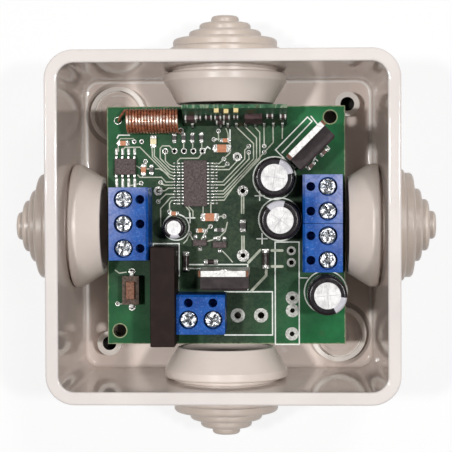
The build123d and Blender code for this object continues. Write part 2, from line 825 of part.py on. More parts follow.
def biarc(start, start_tangent, end, end_tangent):
    """Two arcs that join two points and keep both directions."""
    chord = end - start
    both = start_tangent + end_tangent
    bend = 2 * (1 - start_tangent.dot(end_tangent))
    along = chord.dot(both)
    reach = (sqrt(along ** 2 + bend * chord.dot(chord)) - along) / bend
    first = start + start_tangent * reach
    second = end - end_tangent * reach
    middle = (first + second) * 0.5
    direction = (second - first).normalized()
    return [TangentArc(start, middle, tangent=start_tangent), TangentArc(middle, end, tangent=direction)]


def least_gap(points, step_back):
    """The smallest distance between points that are further apart along the wire than a half turn."""
    gap = 1000.0
    for index, point in enumerate(points):
        for other in points[index + step_back:]:
            gap = min(gap, (point - other).length)
    return gap


def antenna_holes():
    return [(x, antenna_y + across) for x, across in (antenna_start_hole, antenna_end_hole)]


def antenna_coil():
    """One wire: up from the board, round the coil in quarter turns, and down to the board."""
    up = Vector(0, 0, 1)
    down = Vector(0, 0, -1)
    (start_x, start_y), (end_x, end_y) = antenna_holes()
    start = Vector(start_x, start_y, antenna_lead_lift)
    end = Vector(end_x, end_y, antenna_lead_lift)
    foot = Vector(0, 0, lead_end + antenna_lead_lift)
    quarters = int(antenna_turns * 4)
    path = [Line(start - foot, start)]
    path += biarc(start, up, helix_point(0), helix_tangent(0))
    for quarter in range(quarters):
        here, there = quarter / 4, (quarter + 1) / 4
        path += biarc(helix_point(here), helix_tangent(here), helix_point(there), helix_tangent(there))
    path += biarc(helix_point(quarters / 4), helix_tangent(quarters / 4), end, down)
    path.append(Line(end, end - foot))
    points = [helix_point(turn / 24) for turn in range(quarters * 6 + 1)]
    gap = least_gap(points, 16) - 2 * antenna_wire_radius
    print("antenna coil: least gap to itself", round(gap, 3))
    section = Plane(start - foot, z_dir=up) * Circle(antenna_wire_radius)
    wire = sweep(section, path=Wire([edge for piece in path for edge in piece.edges()]))
    return on_board(0, 0) * wire


def button_housing():
    half = (button_base[0] / 2, button_base[1] / 2)
    body = block_of((-half[0], -half[1], 0), (half[0], half[1], button_base[2]))
    cavity = (button_cavity[0] / 2, button_cavity[1] / 2)
    body -= block_of((-cavity[0], -cavity[1], button_cavity_floor),
                     (cavity[0], cavity[1], button_base[2] + 1))
    return on_board(*button_place) * body


def button_cover_plate():
    """The metal lid that keeps the plunger in."""
    half = (button_base[0] / 2, button_base[1] / 2)
    plate = block_of((-half[0], -half[1], button_base[2]), (half[0], half[1], button_base[2] + button_cover))
    hole = (button_stem[0] / 2 + button_play, button_stem[1] / 2 + button_play)
    plate -= block_of((-hole[0], -hole[1], 0), (hole[0], hole[1], button_base[2] + 1))
    return on_board(*button_place) * plate


def button_plunger():
    flange_top = button_base[2] - button_gap
    flange = (button_flange[0] / 2, button_flange[1] / 2)
    stem = (button_stem[0] / 2, button_stem[1] / 2)
    flange_bottom = flange_top - button_flange[2]
    plunger = block_of((-flange[0], -flange[1], flange_bottom), (flange[0], flange[1], flange_top))
    post = block_of((-stem[0], -stem[1], flange_bottom), (stem[0], stem[1], button_top))
    post = fillet(post.edges().group_by(Axis.Z)[-1], button_rounding)
    return on_board(*button_place) * (plunger + post)


def button_dome():
    """The snap dome that pushes the plunger back, as a thin spherical cap."""
    flange_bottom = button_base[2] - button_gap - button_flange[2]
    dome_rise = flange_bottom - button_gap - button_cavity_floor
    curve = (dome_radius ** 2 + dome_rise ** 2) / (2 * dome_rise)
    centre = button_cavity_floor + dome_rise - curve
    shell = Sphere(curve) - Sphere(curve - dome_sheet)
    keep = rod(dome_radius + 1, 0, curve + 1)
    cap = Pos(0, 0, centre) * shell
    return on_board(*button_place) * (cap & Pos(0, 0, button_cavity_floor) * keep)


def button_leads():
    """Bent strips at the two ends of the switch, through the board."""
    half = button_base[1] / 2
    out = half + button_lead_reach
    thick = button_lead_thickness
    low = button_lead_lift
    corners = [(half, low), (half, low + thick), (out + thick / 2, low + thick)]
    corners += [(out + thick / 2, -lead_end), (out - thick / 2, -lead_end), (out - thick / 2, low)]
    face = Rot(0, 0, 90) * Rot(90, 0, 0) * make_face(Polyline(*corners, close=True))
    lead = extrude(face, button_lead_width / 2, both=True)
    return group([on_board(*button_place, 0, turn) * lead for turn in (0, 180)])


def button_lead_places():
    reach = button_base[1] / 2 + button_lead_reach
    return [(button_place[0], button_place[1] + side * reach) for side in (-1, 1)]


def chip_body(x, y, length, width, height, turn):
    return on_board(x, y, height / 2, turn) * Box(length * (1 - 2 * chip_end_share), width, height)


def chip_ends(x, y, length, width, height, turn):
    """The two metal ends of a flat part."""
    size = length * chip_end_share
    shift = (length - size) / 2
    return on_board(x, y, height / 2, turn) * group([Pos(side * shift, 0, 0) * Box(size, width, height)
                                                     for side in (-1, 1)])


def diode_glass(x, y, length, radius, turn):
    glass = Rot(0, 90, 0) * Cylinder(radius - diode_glass_inset, length - 2 * diode_cap_length)
    return on_board(x, y, radius, turn) * glass


def diode_caps(x, y, length, radius, turn):
    shift = (length - diode_cap_length) / 2
    cap = Rot(0, 90, 0) * Cylinder(radius, diode_cap_length)
    return on_board(x, y, radius, turn) * group([Pos(side * shift, 0, 0) * cap for side in (-1, 1)])


def board_drillings():
    """Every hole through the board, as x, y and radius."""
    holes = [(x, y, board_hole_radius) for x, y in board_holes]
    for index in range(plug_pads):
        holes.append((plug_start[0] + index * plug_pitch, plug_start[1], plug_hole_radius))
    holes += [(x, y, link_hole_radius) for x, y in link_holes]
    holes += [(x, y, spare_block_hole_radius) for x, y in spare_block_holes]
    holes += [(x, y, spare_relay_hole_radius) for x, y in spare_relay_holes]
    holes += [(x, y, tail_hole_radius) for name in blocks for x, y in tail_places(name)]
    holes += [(*relay_point(along), relay_pin_hole_radius) for along in relay_pin_places]
    for x, y, _, _, spread in capacitors:
        for side in (-1, 1):
            holes.append((x + side * spread / 2, y, capacitor_lead_radius + hole_clearance))
    holes += [(x, y, power_hole_radius) for x, y in power_lead_places()]
    holes += [(x, receiver_pin_y(), receiver_hole_radius) for x in receiver_pins]
    for x, y in antenna_holes():
        holes.append((x, y, antenna_wire_radius + hole_clearance))
    holes += [(x, y, button_hole_radius) for x, y in button_lead_places()]
    return holes


def circuit_board():
    face = Rectangle(2 * board_half, 2 * board_half)
    for x, y, radius in board_drillings():
        face -= Pos(x, y) * Circle(radius)
    return Pos(0, 0, board_bottom) * extrude(face, board_thickness)


def capacitor_group(make):
    """The same piece of every capacitor."""
    pieces = []
    for x, y, radius, height, spread in capacitors:
        pieces.append(on_board(x, y) * make(radius, height, spread))
    return group(pieces)


nodes = {"box_shell": box_shell()}
for side, turn in {"right": 0, "rear": 90, "left": 180, "front": 270}.items():
    nodes[f"grommet_{side}"] = grommet(turn)
nodes["circuit_board"] = circuit_board()
for name in blocks:
    nodes[f"terminal_housing_{name}"] = terminal_housing(name)
nodes["terminal_contacts"] = terminal_contacts()
for name in blocks:
    for way in range(blocks[name][2]):
        nodes[f"clamp_screw_{name}_{way + 1}"] = clamp_screw(name, way)
        nodes[f"clamp_cage_{name}_{way + 1}"] = clamp_cage(name, way)
nodes["relay_case"] = relay_case()
nodes["relay_base"] = relay_base()
nodes["relay_pins"] = relay_pins()
nodes["relay_yoke"] = relay_yoke()
nodes["relay_coil"] = relay_coil()
nodes["relay_armature"] = relay_armature()
nodes["capacitor_cans"] = capacitor_group(capacitor_can)
nodes["capacitor_sleeves"] = capacitor_group(capacitor_sleeve)
nodes["capacitor_bungs"] = capacitor_group(capacitor_bung)
nodes["capacitor_leads"] = capacitor_group(capacitor_leads)
nodes["power_device_bodies"] = group([power_body(*device) for device in power_devices])
nodes["power_device_leadframes"] = group([power_leadframe(*device) for device in power_devices])
nodes["controller_body"] = on_board(*controller_place) * moulded_body(controller_size)
nodes["controller_leads"] = controller_lead_group()
nodes["small_chip_bodies"] = small_chip_bodies()
nodes["small_chip_leads"] = small_chip_lead_group()
nodes["receiver_board"] = receiver_board()
nodes["receiver_parts"] = receiver_parts()
nodes["receiver_pins"] = receiver_pin_group()
nodes["antenna_coil"] = antenna_coil()
nodes["button_housing"] = button_housing()
nodes["button_cover"] = button_cover_plate()
nodes["button_plunger"] = button_plunger()
nodes["button_dome"] = button_dome()
nodes["button_leads"] = button_leads()
nodes["chip_capacitor_bodies"] = group([chip_body(*chip) for chip in brown_chips])
nodes["chip_resistor_bodies"] = group([chip_body(*chip) for chip in black_chips])
nodes["lamp_body"] = group([chip_body(*lamp) for lamp in lamps])
nodes["chip_end_caps"] = group([chip_ends(*chip) for chip in brown_chips + black_chips + lamps])
nodes["diode_bodies"] = group([diode_glass(*diode) for diode in round_diodes])
nodes["diode_end_caps"] = group([diode_caps(*diode) for diode in round_diodes])

os.makedirs("parts", exist_ok=True)
for node, shape in nodes.items():
    export_step(shape, f"parts/{node}.step")
print(len(nodes), "nodes")
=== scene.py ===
import math

import bmesh
import bpy
from mathutils import Matrix, Vector


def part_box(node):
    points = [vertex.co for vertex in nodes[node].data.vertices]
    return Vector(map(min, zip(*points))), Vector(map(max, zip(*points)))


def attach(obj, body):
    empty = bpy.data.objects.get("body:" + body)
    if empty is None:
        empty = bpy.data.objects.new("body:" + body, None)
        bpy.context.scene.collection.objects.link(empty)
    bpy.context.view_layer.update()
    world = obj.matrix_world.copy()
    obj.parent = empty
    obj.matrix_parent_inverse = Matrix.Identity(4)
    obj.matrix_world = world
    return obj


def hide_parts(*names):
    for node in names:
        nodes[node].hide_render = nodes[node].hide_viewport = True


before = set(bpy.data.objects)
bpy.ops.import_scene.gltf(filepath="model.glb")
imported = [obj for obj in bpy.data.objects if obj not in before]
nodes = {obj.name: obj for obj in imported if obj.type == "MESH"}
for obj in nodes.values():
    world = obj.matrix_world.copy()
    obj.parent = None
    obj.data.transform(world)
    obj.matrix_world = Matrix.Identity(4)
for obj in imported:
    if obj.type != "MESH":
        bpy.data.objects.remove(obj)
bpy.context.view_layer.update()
scene = bpy.context.scene

# Measures are in millimetres unless a comment says otherwise, and MM turns them into the frame's metres
MM = 0.001
BODY = "receiver_box"
BOARD_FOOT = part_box("circuit_board")[0].z / MM
BOARD_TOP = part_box("circuit_board")[1].z / MM
BOARD_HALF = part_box("circuit_board")[1].x / MM
BOX_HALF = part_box("box_shell")[1].x / MM
RIM_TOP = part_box("box_shell")[1].z / MM
SCREW_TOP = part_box("clamp_screw_left_1")[1].z / MM
# The top of the box's floor; its fold up to the walls lies outside FOLD_EDGE, and a painted highlight along
# it fades out between two y
FLOOR_TOP = 2.0
FOLD_EDGE = 28.0
FOLD_HIGHLIGHT_FADE = (-28.0, -20.0)
# The box's two wall-screw holes lie on a diagonal: their place, radius and top
WALL_HOLE = (26.0, 1.5, 5.5)
# The two knock-out rings lie on the other diagonal: their place and outer radius
KNOCKOUT = (24.1, 6.05)

# Places on the board, as in the part
CONTROLLER = (-6.4, 8.8)
CONTROLLER_HALF = (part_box("controller_body")[1].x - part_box("controller_body")[0].x) / 2 / MM
CONTROLLER_LEADS = 14
CONTROLLER_PITCH = 0.65
MEMORY = (-21.1, 12.35)
MEMORY_HALF = 1.7
MEMORY_LEADS = 4
MEMORY_PITCH = 1.27
TRANSISTORS = [(-1.35, -4.1), (-5.5, -3.7)]
PINK_RESISTORS = [(20.6, 15.2), (17.9, 12.4)]
# Capacitors: place, radius and the direction of the stripe. Up to SMALL_CAPACITOR in radius, the can has no
# scores and the printed ring lies closer
STRIPES = [(10.2, 9.85, 4.0, 42.0), (11.35, 1.2, 4.0, 105.0), (20.9, -14.1, 4.0, -35.0),
           (-10.5, -0.4, 2.3, -85.0)]
SMALL_CAPACITOR = 3
# Power devices: place, turn and half the tab's width
TABS = [(0.05, -8.7, 0.0, 5.0), (16.15, 17.6, 45.0, 5.0)]
# The receiver module leans back from its foot, which is given by its y and z
MODULE_LEAN = math.radians(17.0)
MODULE_FOOT = (21.25, 17.1)
MODULE_THICKNESS = 0.8
# The antenna coil is one wire wound along X, and its start is measured from the board's top
COIL_TURNS = 16.5
COIL_PITCH = 0.64
COIL_RADIUS = 2.35
COIL_START = (-20.4, 21.75, 3.05)
WIRE_RADIUS = 0.29
COIL_TOP = BOARD_TOP + COIL_START[2] + COIL_RADIUS + WIRE_RADIUS

# The camera stands over the box, a little right and to the rear of its middle, in metres
CAMERA_PLACE = Vector((0.01104, 0.00636, 0.325))
CAMERA_TARGET = Vector((0.000758, 0.000278, 0.038))
CAMERA_LENS = 116.95
CAMERA_ROLL = -0.0036


def colour(red, green, blue):
    """A colour given as 0 to 255, as the shaders want it."""
    linear = []
    for value in (red, green, blue):
        value /= 255.0
        linear.append(value / 12.92 if value <= 0.04045 else ((value + 0.055) / 1.055) ** 2.4)
    return (*linear, 1.0)


class Shader:
    """A node material under construction, with its texture coordinates in millimetres."""

    def __init__(self, name):
        self.material = bpy.data.materials.new(name)
        self.material.use_nodes = True
        self.tree = self.material.node_tree
        self.surface = self.tree.nodes["Principled BSDF"]
        scale = self.node("VectorMath", operation="SCALE")
        scale.inputs["Scale"].default_value = 1.0 / MM
        self.put(self.node("TexCoord").outputs["Object"], scale.inputs[0])
        self.place = scale.outputs[0]

    def node(self, kind, **settings):
        """A new shader node of a kind."""
        made = self.tree.nodes.new("ShaderNode" + kind)
        for key, value in settings.items():
            setattr(made, key, value)
        return made

    def put(self, value, socket):
        """A link or a plain value into a socket; three numbers are a colour of 0 to 255."""
        if isinstance(value, bpy.types.NodeSocket):
            self.tree.links.new(value, socket)
        elif socket.type == "RGBA" and len(value) == 3:
            socket.default_value = colour(*value)
        else:
            socket.default_value = value

    def math(self, operation, *values):
        """One step of arithmetic."""
        made = self.node("Math", operation=operation)
        for value, socket in zip(values, made.inputs):
            self.put(value, socket)
        return made.outputs[0]

    def times(self, first, *others):
        for other in others:
            first = self.math("MULTIPLY", first, other)
        return first

    def most(self, first, *others):
        for other in others:
            first = self.math("MAXIMUM", first, other)
        return first

    def plus(self, first, second):
        return self.math("ADD", first, second)

    def minus(self, first, second):
        return self.math("SUBTRACT", first, second)

    def absolute(self, value):
        return self.math("ABSOLUTE", value)

    def above(self, value, level):
        return self.math("GREATER_THAN", value, level)

    def below(self, value, level):
        return self.math("LESS_THAN", value, level)

    def between(self, value, low, high):
        return self.times(self.above(value, low), self.below(value, high))

    def parts(self, vector=None):
        """The x, y and z of the place, or of another vector."""
        made = self.node("SeparateXYZ")
        self.put(self.place if vector is None else vector, made.inputs[0])
        return made.outputs

    def reach(self):
        """How far the place lies from the middle, as half the side of a square."""
        x, y, _ = self.parts()
        return self.most(self.absolute(x), self.absolute(y))

    def offset(self, x, y):
        """The place's x and y measured from another point."""
        made = self.node("VectorMath", operation="SUBTRACT")
        self.put(self.place, made.inputs[0])
        made.inputs[1].default_value = (x, y, 0.0)
        u, v, _ = self.parts(made.outputs[0])
        return u, v

    def apart(self, x, y):
        """The distance from an upright line through a point."""
        u, v = self.offset(x, y)
        return self.math("SQRT", self.plus(self.math("POWER", u, 2.0), self.math("POWER", v, 2.0)))

    def turned(self, x, y, degrees):
        """The place's distances from a point, along and across a direction."""
        u, v = self.offset(x, y)
        cos, sin = math.cos(math.radians(degrees)), math.sin(math.radians(degrees))
        along = self.plus(self.times(u, cos), self.times(v, sin))
        across = self.minus(self.times(v, cos), self.times(u, sin))
        return along, across

    def noise(self, size, detail=3.0, roughness=0.55, stretch=None, distortion=0.0):
        """Cloudy noise with features of about this size."""
        made = self.node("TexNoise")
        for key, value in (("Scale", 1.0 / size), ("Detail", detail), ("Roughness", roughness),
                           ("Distortion", distortion)):
            made.inputs[key].default_value = value
        vector = self.place
        if stretch is not None:
            scale = self.node("VectorMath", operation="MULTIPLY")
            self.put(vector, scale.inputs[0])
            scale.inputs[1].default_value = stretch
            vector = scale.outputs[0]
        self.put(vector, made.inputs["Vector"])
        return made.outputs["Fac"]

    def span(self, value, low, high, to_low=0.0, to_high=1.0):
        """A value carried from one range to another, held inside it."""
        made = self.node("MapRange")
        self.put(value, made.inputs["Value"])
        for key, number in (("From Min", low), ("From Max", high), ("To Min", to_low), ("To Max", to_high)):
            made.inputs[key].default_value = number
        return made.outputs["Result"]

    def mix(self, share, first, second):
        """Two colours blended, with this share of the second."""
        made = self.node("Mix", data_type="RGBA")
        for value, index in ((share, 0), (first, 6), (second, 7)):
            self.put(value, made.inputs[index])
        return made.outputs[2]

    def tones(self, cloud, first, second, low=0.35, high=0.65):
        """Two colours in patches of a noise."""
        return self.mix(self.span(cloud, low, high), first, second)

    def dull(self, size, low, high):
        """Roughness that wanders between two values, in patches of a size."""
        return self.span(self.noise(size), 0.3, 0.7, low, high)

    def bump(self, height, depth, base=None):
        """Surface relief of a depth, added to another relief if one is given."""
        made = self.node("Bump")
        made.inputs["Strength"].default_value = 1.0
        made.inputs["Distance"].default_value = depth * MM
        self.put(height, made.inputs["Height"])
        if base is not None:
            self.put(base, made.inputs["Normal"])
        return made.outputs["Normal"]

    def set(self, **values):
        """The surface's inputs, named with _ for a space; gives the finished material."""
        for key, value in values.items():
            self.put(value, self.surface.inputs[key.replace("_", " ")])
        return self.material


def plastic(name, first, second, roughness, patch=6.0, grain=0.25, relief=0.004, specular=0.3):
    """Moulded plastic: two close shades in soft patches, with a fine grain."""
    look = Shader(name)
    return look.set(Base_Color=look.tones(look.noise(patch, detail=4.0), first, second),
                    Roughness=look.dull(patch * 0.4, roughness * 0.85, roughness * 1.15),
                    Specular_IOR_Level=specular, Normal=look.bump(look.noise(grain, detail=2.0), relief))


def metal(name, first, second, roughness, patch=0.8, grain=0.12, relief=0.01, metallic=1.0):
    """Plated or bare metal with small shade and gloss changes."""
    look = Shader(name)
    patches = look.noise(patch, detail=4.0, roughness=0.6)
    return look.set(Base_Color=look.tones(patches, first, second), Metallic=metallic,
                    Roughness=look.dull(grain, roughness * 0.7, roughness * 1.3),
                    Normal=look.bump(patches, relief))


def shell_look():
    """The box's glossy plastic, with painted warmth of bounced light below its rim and painted shade under
    the board and in the screw holes. Painted highlights on the fold round the floor, the bosses and the
    rings' crests, and painted shade at the rings' outer feet."""
    look = Shader("shell_plastic")
    x, y, z = look.parts()
    edge = look.reach()
    patches = look.noise(14.0, detail=4.0)
    rim = look.tones(patches, (219, 211, 207), (226, 218, 213))
    # Below the rim the colour is warmer: painted warmth of the light bounced inside the box
    low = look.tones(patches, (220, 206, 197), (227, 213, 204))
    shade = look.mix(look.span(z, RIM_TOP - 1.6, RIM_TOP - 1.0), low, rim)
    under_board = look.between(z, FLOOR_TOP - 1.0, BOARD_FOOT - 0.9)
    # Painted shade: the floor and walls under the board are darkened
    painted_dark_shade = look.times(look.span(edge, BOARD_HALF, BOARD_HALF - 0.6), under_board)
    # A painted highlight: a pale line along the fold round the floor
    painted_fold_highlight = look.times(look.span(z, FLOOR_TOP + 0.01, FLOOR_TOP + 0.05),
                      look.span(z, FLOOR_TOP + 0.4, FLOOR_TOP + 0.25),
                      look.span(y, *FOLD_HIGHLIGHT_FADE), look.above(edge, FOLD_EDGE))
    shade = look.mix(look.times(painted_fold_highlight, 0.85), shade, (252, 248, 244))
    for side in (-1, 1):
        place, radius, top = WALL_HOLE
        apart = look.apart(side * place, side * place)
        # Painted shade inside the wall-screw holes, joined to the painted shade under the board
        inside = look.times(look.below(apart, radius + 0.04), look.below(z, top - 0.25))
        painted_dark_shade = look.most(painted_dark_shade, inside)
        # Painted highlights: pale tops on the bosses and pale crests on the knock-out rings
        painted_boss_highlight = look.times(look.below(apart, radius + 1.3), look.above(z, top - 0.3))
        place, radius = KNOCKOUT
        apart = look.apart(side * place, -side * place)
        ring = look.times(look.between(apart, radius - 1.1, radius + 0.1), under_board)
        shade = look.mix(look.times(look.most(painted_boss_highlight, ring), 0.85), shade, (248, 242, 235))
        # Painted shade on the floor at each ring's outer foot, on the side away from the box's middle
        outward = look.span(look.times(look.minus(x, side * place), side), -1.0, 4.0)
        painted_foot_shade = look.times(look.span(apart, radius + 0.05, radius + 0.2),
                          look.span(apart, radius + 1.3, radius + 1.0), outward, under_board)
        shade = look.mix(look.times(painted_foot_shade, 0.6), shade, (112, 104, 98))
    # The painted shade under the board and inside the screw holes goes on last
    shade = look.mix(look.times(painted_dark_shade, 0.92), shade, (36, 32, 29))
    return look.set(Base_Color=shade, Roughness=look.dull(5.6, 0.06, 0.08),
                    Normal=look.bump(look.noise(0.5, detail=2.0), 0.003))


def grommet_look():
    """Pale rubber with a soft sheen, browner where it stands outside the box."""
    look = Shader("grommet_rubber")
    patches = look.noise(8.0, detail=4.0)
    within = look.tones(patches, (209, 197, 188), (216, 204, 195))
    without = look.tones(patches, (190, 176, 165), (199, 185, 174))
    shade = look.mix(look.span(look.reach(), BOX_HALF, BOX_HALF + 0.8), within, without)
    return look.set(Base_Color=shade, Roughness=look.dull(3.2, 0.29, 0.39), Specular_IOR_Level=0.5,
                    Normal=look.bump(look.noise(0.3, detail=2.0), 0.008))


def board_look():
    """Green solder mask with painted light towards the corners, weaker on the left, bare cut edges and
    painted shade on the hole walls.
    """
    look = Shader("solder_mask")
    x, y, z = look.parts()
    cloud = look.noise(9.0, detail=5.0, roughness=0.6)
    # Painted light: the green is lighter towards the corners and weaker on the left, with a shaded copy of it
    # elsewhere
    painted_light_share = look.times(look.span(look.times(look.absolute(x), look.absolute(y)), 60.0, 420.0),
                        look.span(x, -14.0, 0.0, 0.7, 1.0))
    shaded_green = look.tones(cloud, (28, 46, 34), (42, 58, 42), 0.4, 0.62)
    light = look.tones(cloud, (20, 88, 48), (32, 106, 62), 0.4, 0.62)
    green = look.mix(painted_light_share, shaded_green, light)
    olive = look.span(look.noise(3.2, detail=4.0, distortion=0.6), 0.6, 0.75)
    green = look.mix(look.times(olive, 0.35), green, (64, 70, 46))
    specks = look.span(look.noise(0.8, detail=6.0, roughness=0.75), 0.42, 0.72, 0.0, 0.32)
    green = look.mix(look.times(specks, look.minus(1.0, painted_light_share)), green, (96, 112, 84))
    edge = look.plus(look.reach(), look.span(look.noise(0.8), 0.2, 0.8, -0.12, 0.12))
    laminate = look.mix(look.noise(0.5), (150, 156, 126), (106, 120, 88))
    shade = look.mix(look.span(edge, BOARD_HALF - 0.22, BOARD_HALF - 0.1), green, laminate)
    # Painted shade on the walls of the board's holes
    hole_wall_shade = look.times(look.between(z, BOARD_FOOT + 0.05, BOARD_TOP - 0.03),
                           look.below(edge, BOARD_HALF - 0.6))
    shade = look.mix(hole_wall_shade, shade, (24, 26, 20))
    weave = look.plus(look.noise(0.35, stretch=(1.0, 0.12, 1.0)), look.noise(0.35, stretch=(0.12, 1.0, 1.0)))
    relief = look.bump(look.noise(2.2, detail=4.0), 0.012, base=look.bump(weave, 0.006))
    return look.set(Base_Color=shade, Roughness=look.dull(1.6, 0.4, 0.55), Specular_IOR_Level=0.1,
                    Normal=relief)


def sleeve_look():
    """Black shrunk sleeve with a pale polarity stripe on each capacitor."""
    look = Shader("capacitor_sleeve")
    stripes = []
    for x, y, radius, angle in STRIPES:
        apart = look.apart(x, y)
        along, _ = look.turned(x, y, angle)
        facing = look.above(look.math("DIVIDE", along, apart), math.cos(math.radians(29)))
        stripes.append(look.times(look.below(apart, radius + 0.3), facing))
    fine = look.noise(0.5)
    black = look.mix(fine, (24, 20, 24), (36, 30, 34))
    pale = look.mix(fine, (176, 174, 182), (200, 198, 204))
    return look.set(Base_Color=look.mix(look.most(*stripes), black, pale),
                    Roughness=look.dull(0.9, 0.18, 0.3), Specular_IOR_Level=0.3,
                    Normal=look.bump(look.noise(0.6), 0.01))


def leadframe_look():
    """Tinned metal, with bare copper where the tabs' ends were cut."""
    look = Shader("tinned_tab")
    cuts = []
    for x, y, turn, half in TABS:
        along, across = look.turned(x, y, turn)
        cuts.append(look.times(look.between(look.absolute(along), half - 0.5, half + 0.5),
                               look.below(look.absolute(across), 2.0)))
    cut = look.times(look.most(*cuts), look.above(look.parts()[2], BOARD_TOP + 16.0))
    cloud = look.noise(0.7, detail=4.0)
    tin = look.tones(cloud, (196, 194, 192), (222, 220, 217))
    copper = look.mix(cloud, (174, 128, 104), (134, 84, 66))
    return look.set(Base_Color=look.mix(cut, tin, copper), Metallic=0.4,
                    Roughness=look.dull(0.5, 0.24, 0.42),
                    Normal=look.bump(look.noise(0.3, stretch=(1.0, 1.0, 0.2)), 0.01))


def lead_look(name, middle, axis, body_half):
    """Plated leads along one axis: a painted highlight on the shoulder at the body and on the toe, and
    painted shade on the slope between.
    """
    look = Shader(name)
    apart = look.minus(look.absolute(look.minus(look.parts()[axis], middle)), body_half)
    # Painted light: highlights on the shoulder and the toe, painted shade on the slope between
    bright = look.most(look.below(apart, 0.5), look.times(look.between(apart, 0.85, 1.25), 0.7))
    cloud = look.noise(0.3)
    pale = look.mix(cloud, (206, 205, 200), (240, 239, 235))
    dark = look.mix(cloud, (60, 64, 60), (104, 106, 100))
    return look.set(Base_Color=look.mix(bright, dark, pale), Metallic=0.3,
                    Roughness=look.span(cloud, 0.3, 0.7, 0.2, 0.34), Normal=look.bump(cloud, 0.03))


def module_look():
    """The small upright board: dark mottled green, lighter above, with a pale broken top edge."""
    look = Shader("module_green")
    _, y, z = look.parts()
    along = look.plus(look.times(look.minus(y, MODULE_FOOT[0]), math.sin(MODULE_LEAN)),
                      look.times(look.minus(z, MODULE_FOOT[1]), math.cos(MODULE_LEAN)))
    cloud = look.noise(1.3, detail=5.0, roughness=0.65)
    lower = look.tones(cloud, (34, 50, 38), (50, 74, 54), 0.38, 0.62)
    upper = look.tones(cloud, (42, 80, 56), (64, 106, 78), 0.38, 0.62)
    green = look.mix(look.span(along, 6.4, 7.4), lower, upper)
    tint = look.times(look.span(look.noise(2.4), 0.56, 0.68), 0.5)
    green = look.mix(tint, green, (110, 72, 50))
    dots = look.span(look.noise(0.5, detail=2.0, stretch=(1.0, 0.3, 0.3)), 0.52, 0.6)
    dots = look.times(look.above(along, 10.45), dots, 0.6)
    return look.set(Base_Color=look.mix(dots, green, (150, 162, 138)), Roughness=0.4,
                    Specular_IOR_Level=0.2, Normal=look.bump(cloud, 0.02))


def chip_look():
    """Matte moulded epoxy with a fine speckle."""
    look = Shader("chip_epoxy")
    speckle = look.noise(0.45, detail=5.0, roughness=0.8)
    return look.set(Base_Color=look.tones(speckle, (56, 46, 46), (104, 92, 90), 0.38, 0.66),
                    Roughness=look.dull(0.6, 0.5, 0.66), Specular_IOR_Level=0.2,
                    Normal=look.bump(speckle, 0.02))


def resistor_look():
    """Black glazed ceramic, pinkish brown on two of the resistors."""
    look = Shader("ceramic_black")
    patches = look.noise(0.4, detail=4.0)
    shade = look.tones(patches, (44, 42, 42), (74, 68, 66))
    pink = look.tones(patches, (96, 70, 64), (140, 112, 104))
    for x, y in PINK_RESISTORS:
        shade = look.mix(look.below(look.apart(x, y), 1.6), shade, pink)
    return look.set(Base_Color=shade, Roughness=0.4, Specular_IOR_Level=0.3,
                    Normal=look.bump(look.noise(0.15, detail=2.0), 0.004))


def terminal_look():
    """Blue moulded nylon, with pale scuffs on top that partly stand for a painted reflection, and a painted
    pale glare towards its outer and rear edges.
    """
    look = Shader("terminal_blue")
    x, y, z = look.parts()
    cloud = look.noise(2.4, detail=5.0, roughness=0.62)
    blue = look.tones(cloud, (10, 64, 138), (24, 84, 162), 0.38, 0.62)
    # Pale scuffs on the tops, partly real scuffs and partly painted reflection
    scuff_and_reflection = look.times(look.span(look.noise(0.45, detail=5.0, roughness=0.75), 0.56, 0.74),
                       look.span(z, BOARD_TOP + 9.0, BOARD_TOP + 10.0), 0.6)
    shade = look.mix(scuff_and_reflection, blue, (160, 174, 214))
    # Painted glare: a pale sheen painted towards the outer and rear edges of the tops
    sheen = look.times(look.span(look.absolute(x), 18.0, 24.0), look.span(y, -8.0, 7.0))
    sheen = look.times(look.most(sheen, look.span(y, 5.6, 8.6, 0.0, 0.6)),
                       look.span(look.noise(0.9, detail=4.0), 0.35, 0.6, 0.5, 1.0),
                       look.above(z, BOARD_TOP + 9.3), 0.7)
    shade = look.mix(sheen, shade, (178, 182, 214))
    return look.set(Base_Color=shade, Roughness=look.dull(1.1, 0.3, 0.44), Specular_IOR_Level=0.14,
                    Normal=look.bump(look.noise(0.3), 0.01))


def screw_look():
    """Plated steel with painted glints where its flats would catch the lamps, and painted shade in the slots.
    """
    look = Shader("screw_plating")
    cloud = look.noise(0.55, detail=4.0, roughness=0.65, distortion=0.8)
    # Painted glints: bright patches in the steel's colour, on the same noise as the facet bump
    painted_glints_and_facets = look.noise(0.85, detail=1.5, roughness=0.45, distortion=1.2)
    steel = look.tones(cloud, (62, 68, 76), (122, 128, 136), 0.38, 0.62)
    shade = look.tones(painted_glints_and_facets, steel, (240, 241, 243), 0.49, 0.53)
    # Painted shade in the sunken slots
    slot_shade = look.times(look.below(look.parts()[2], SCREW_TOP - 0.35), 0.8)
    return look.set(Base_Color=look.mix(slot_shade, shade, (40, 44, 50)), Metallic=0.3,
                    Roughness=look.dull(0.35, 0.2, 0.3), Normal=look.bump(painted_glints_and_facets, 0.2))


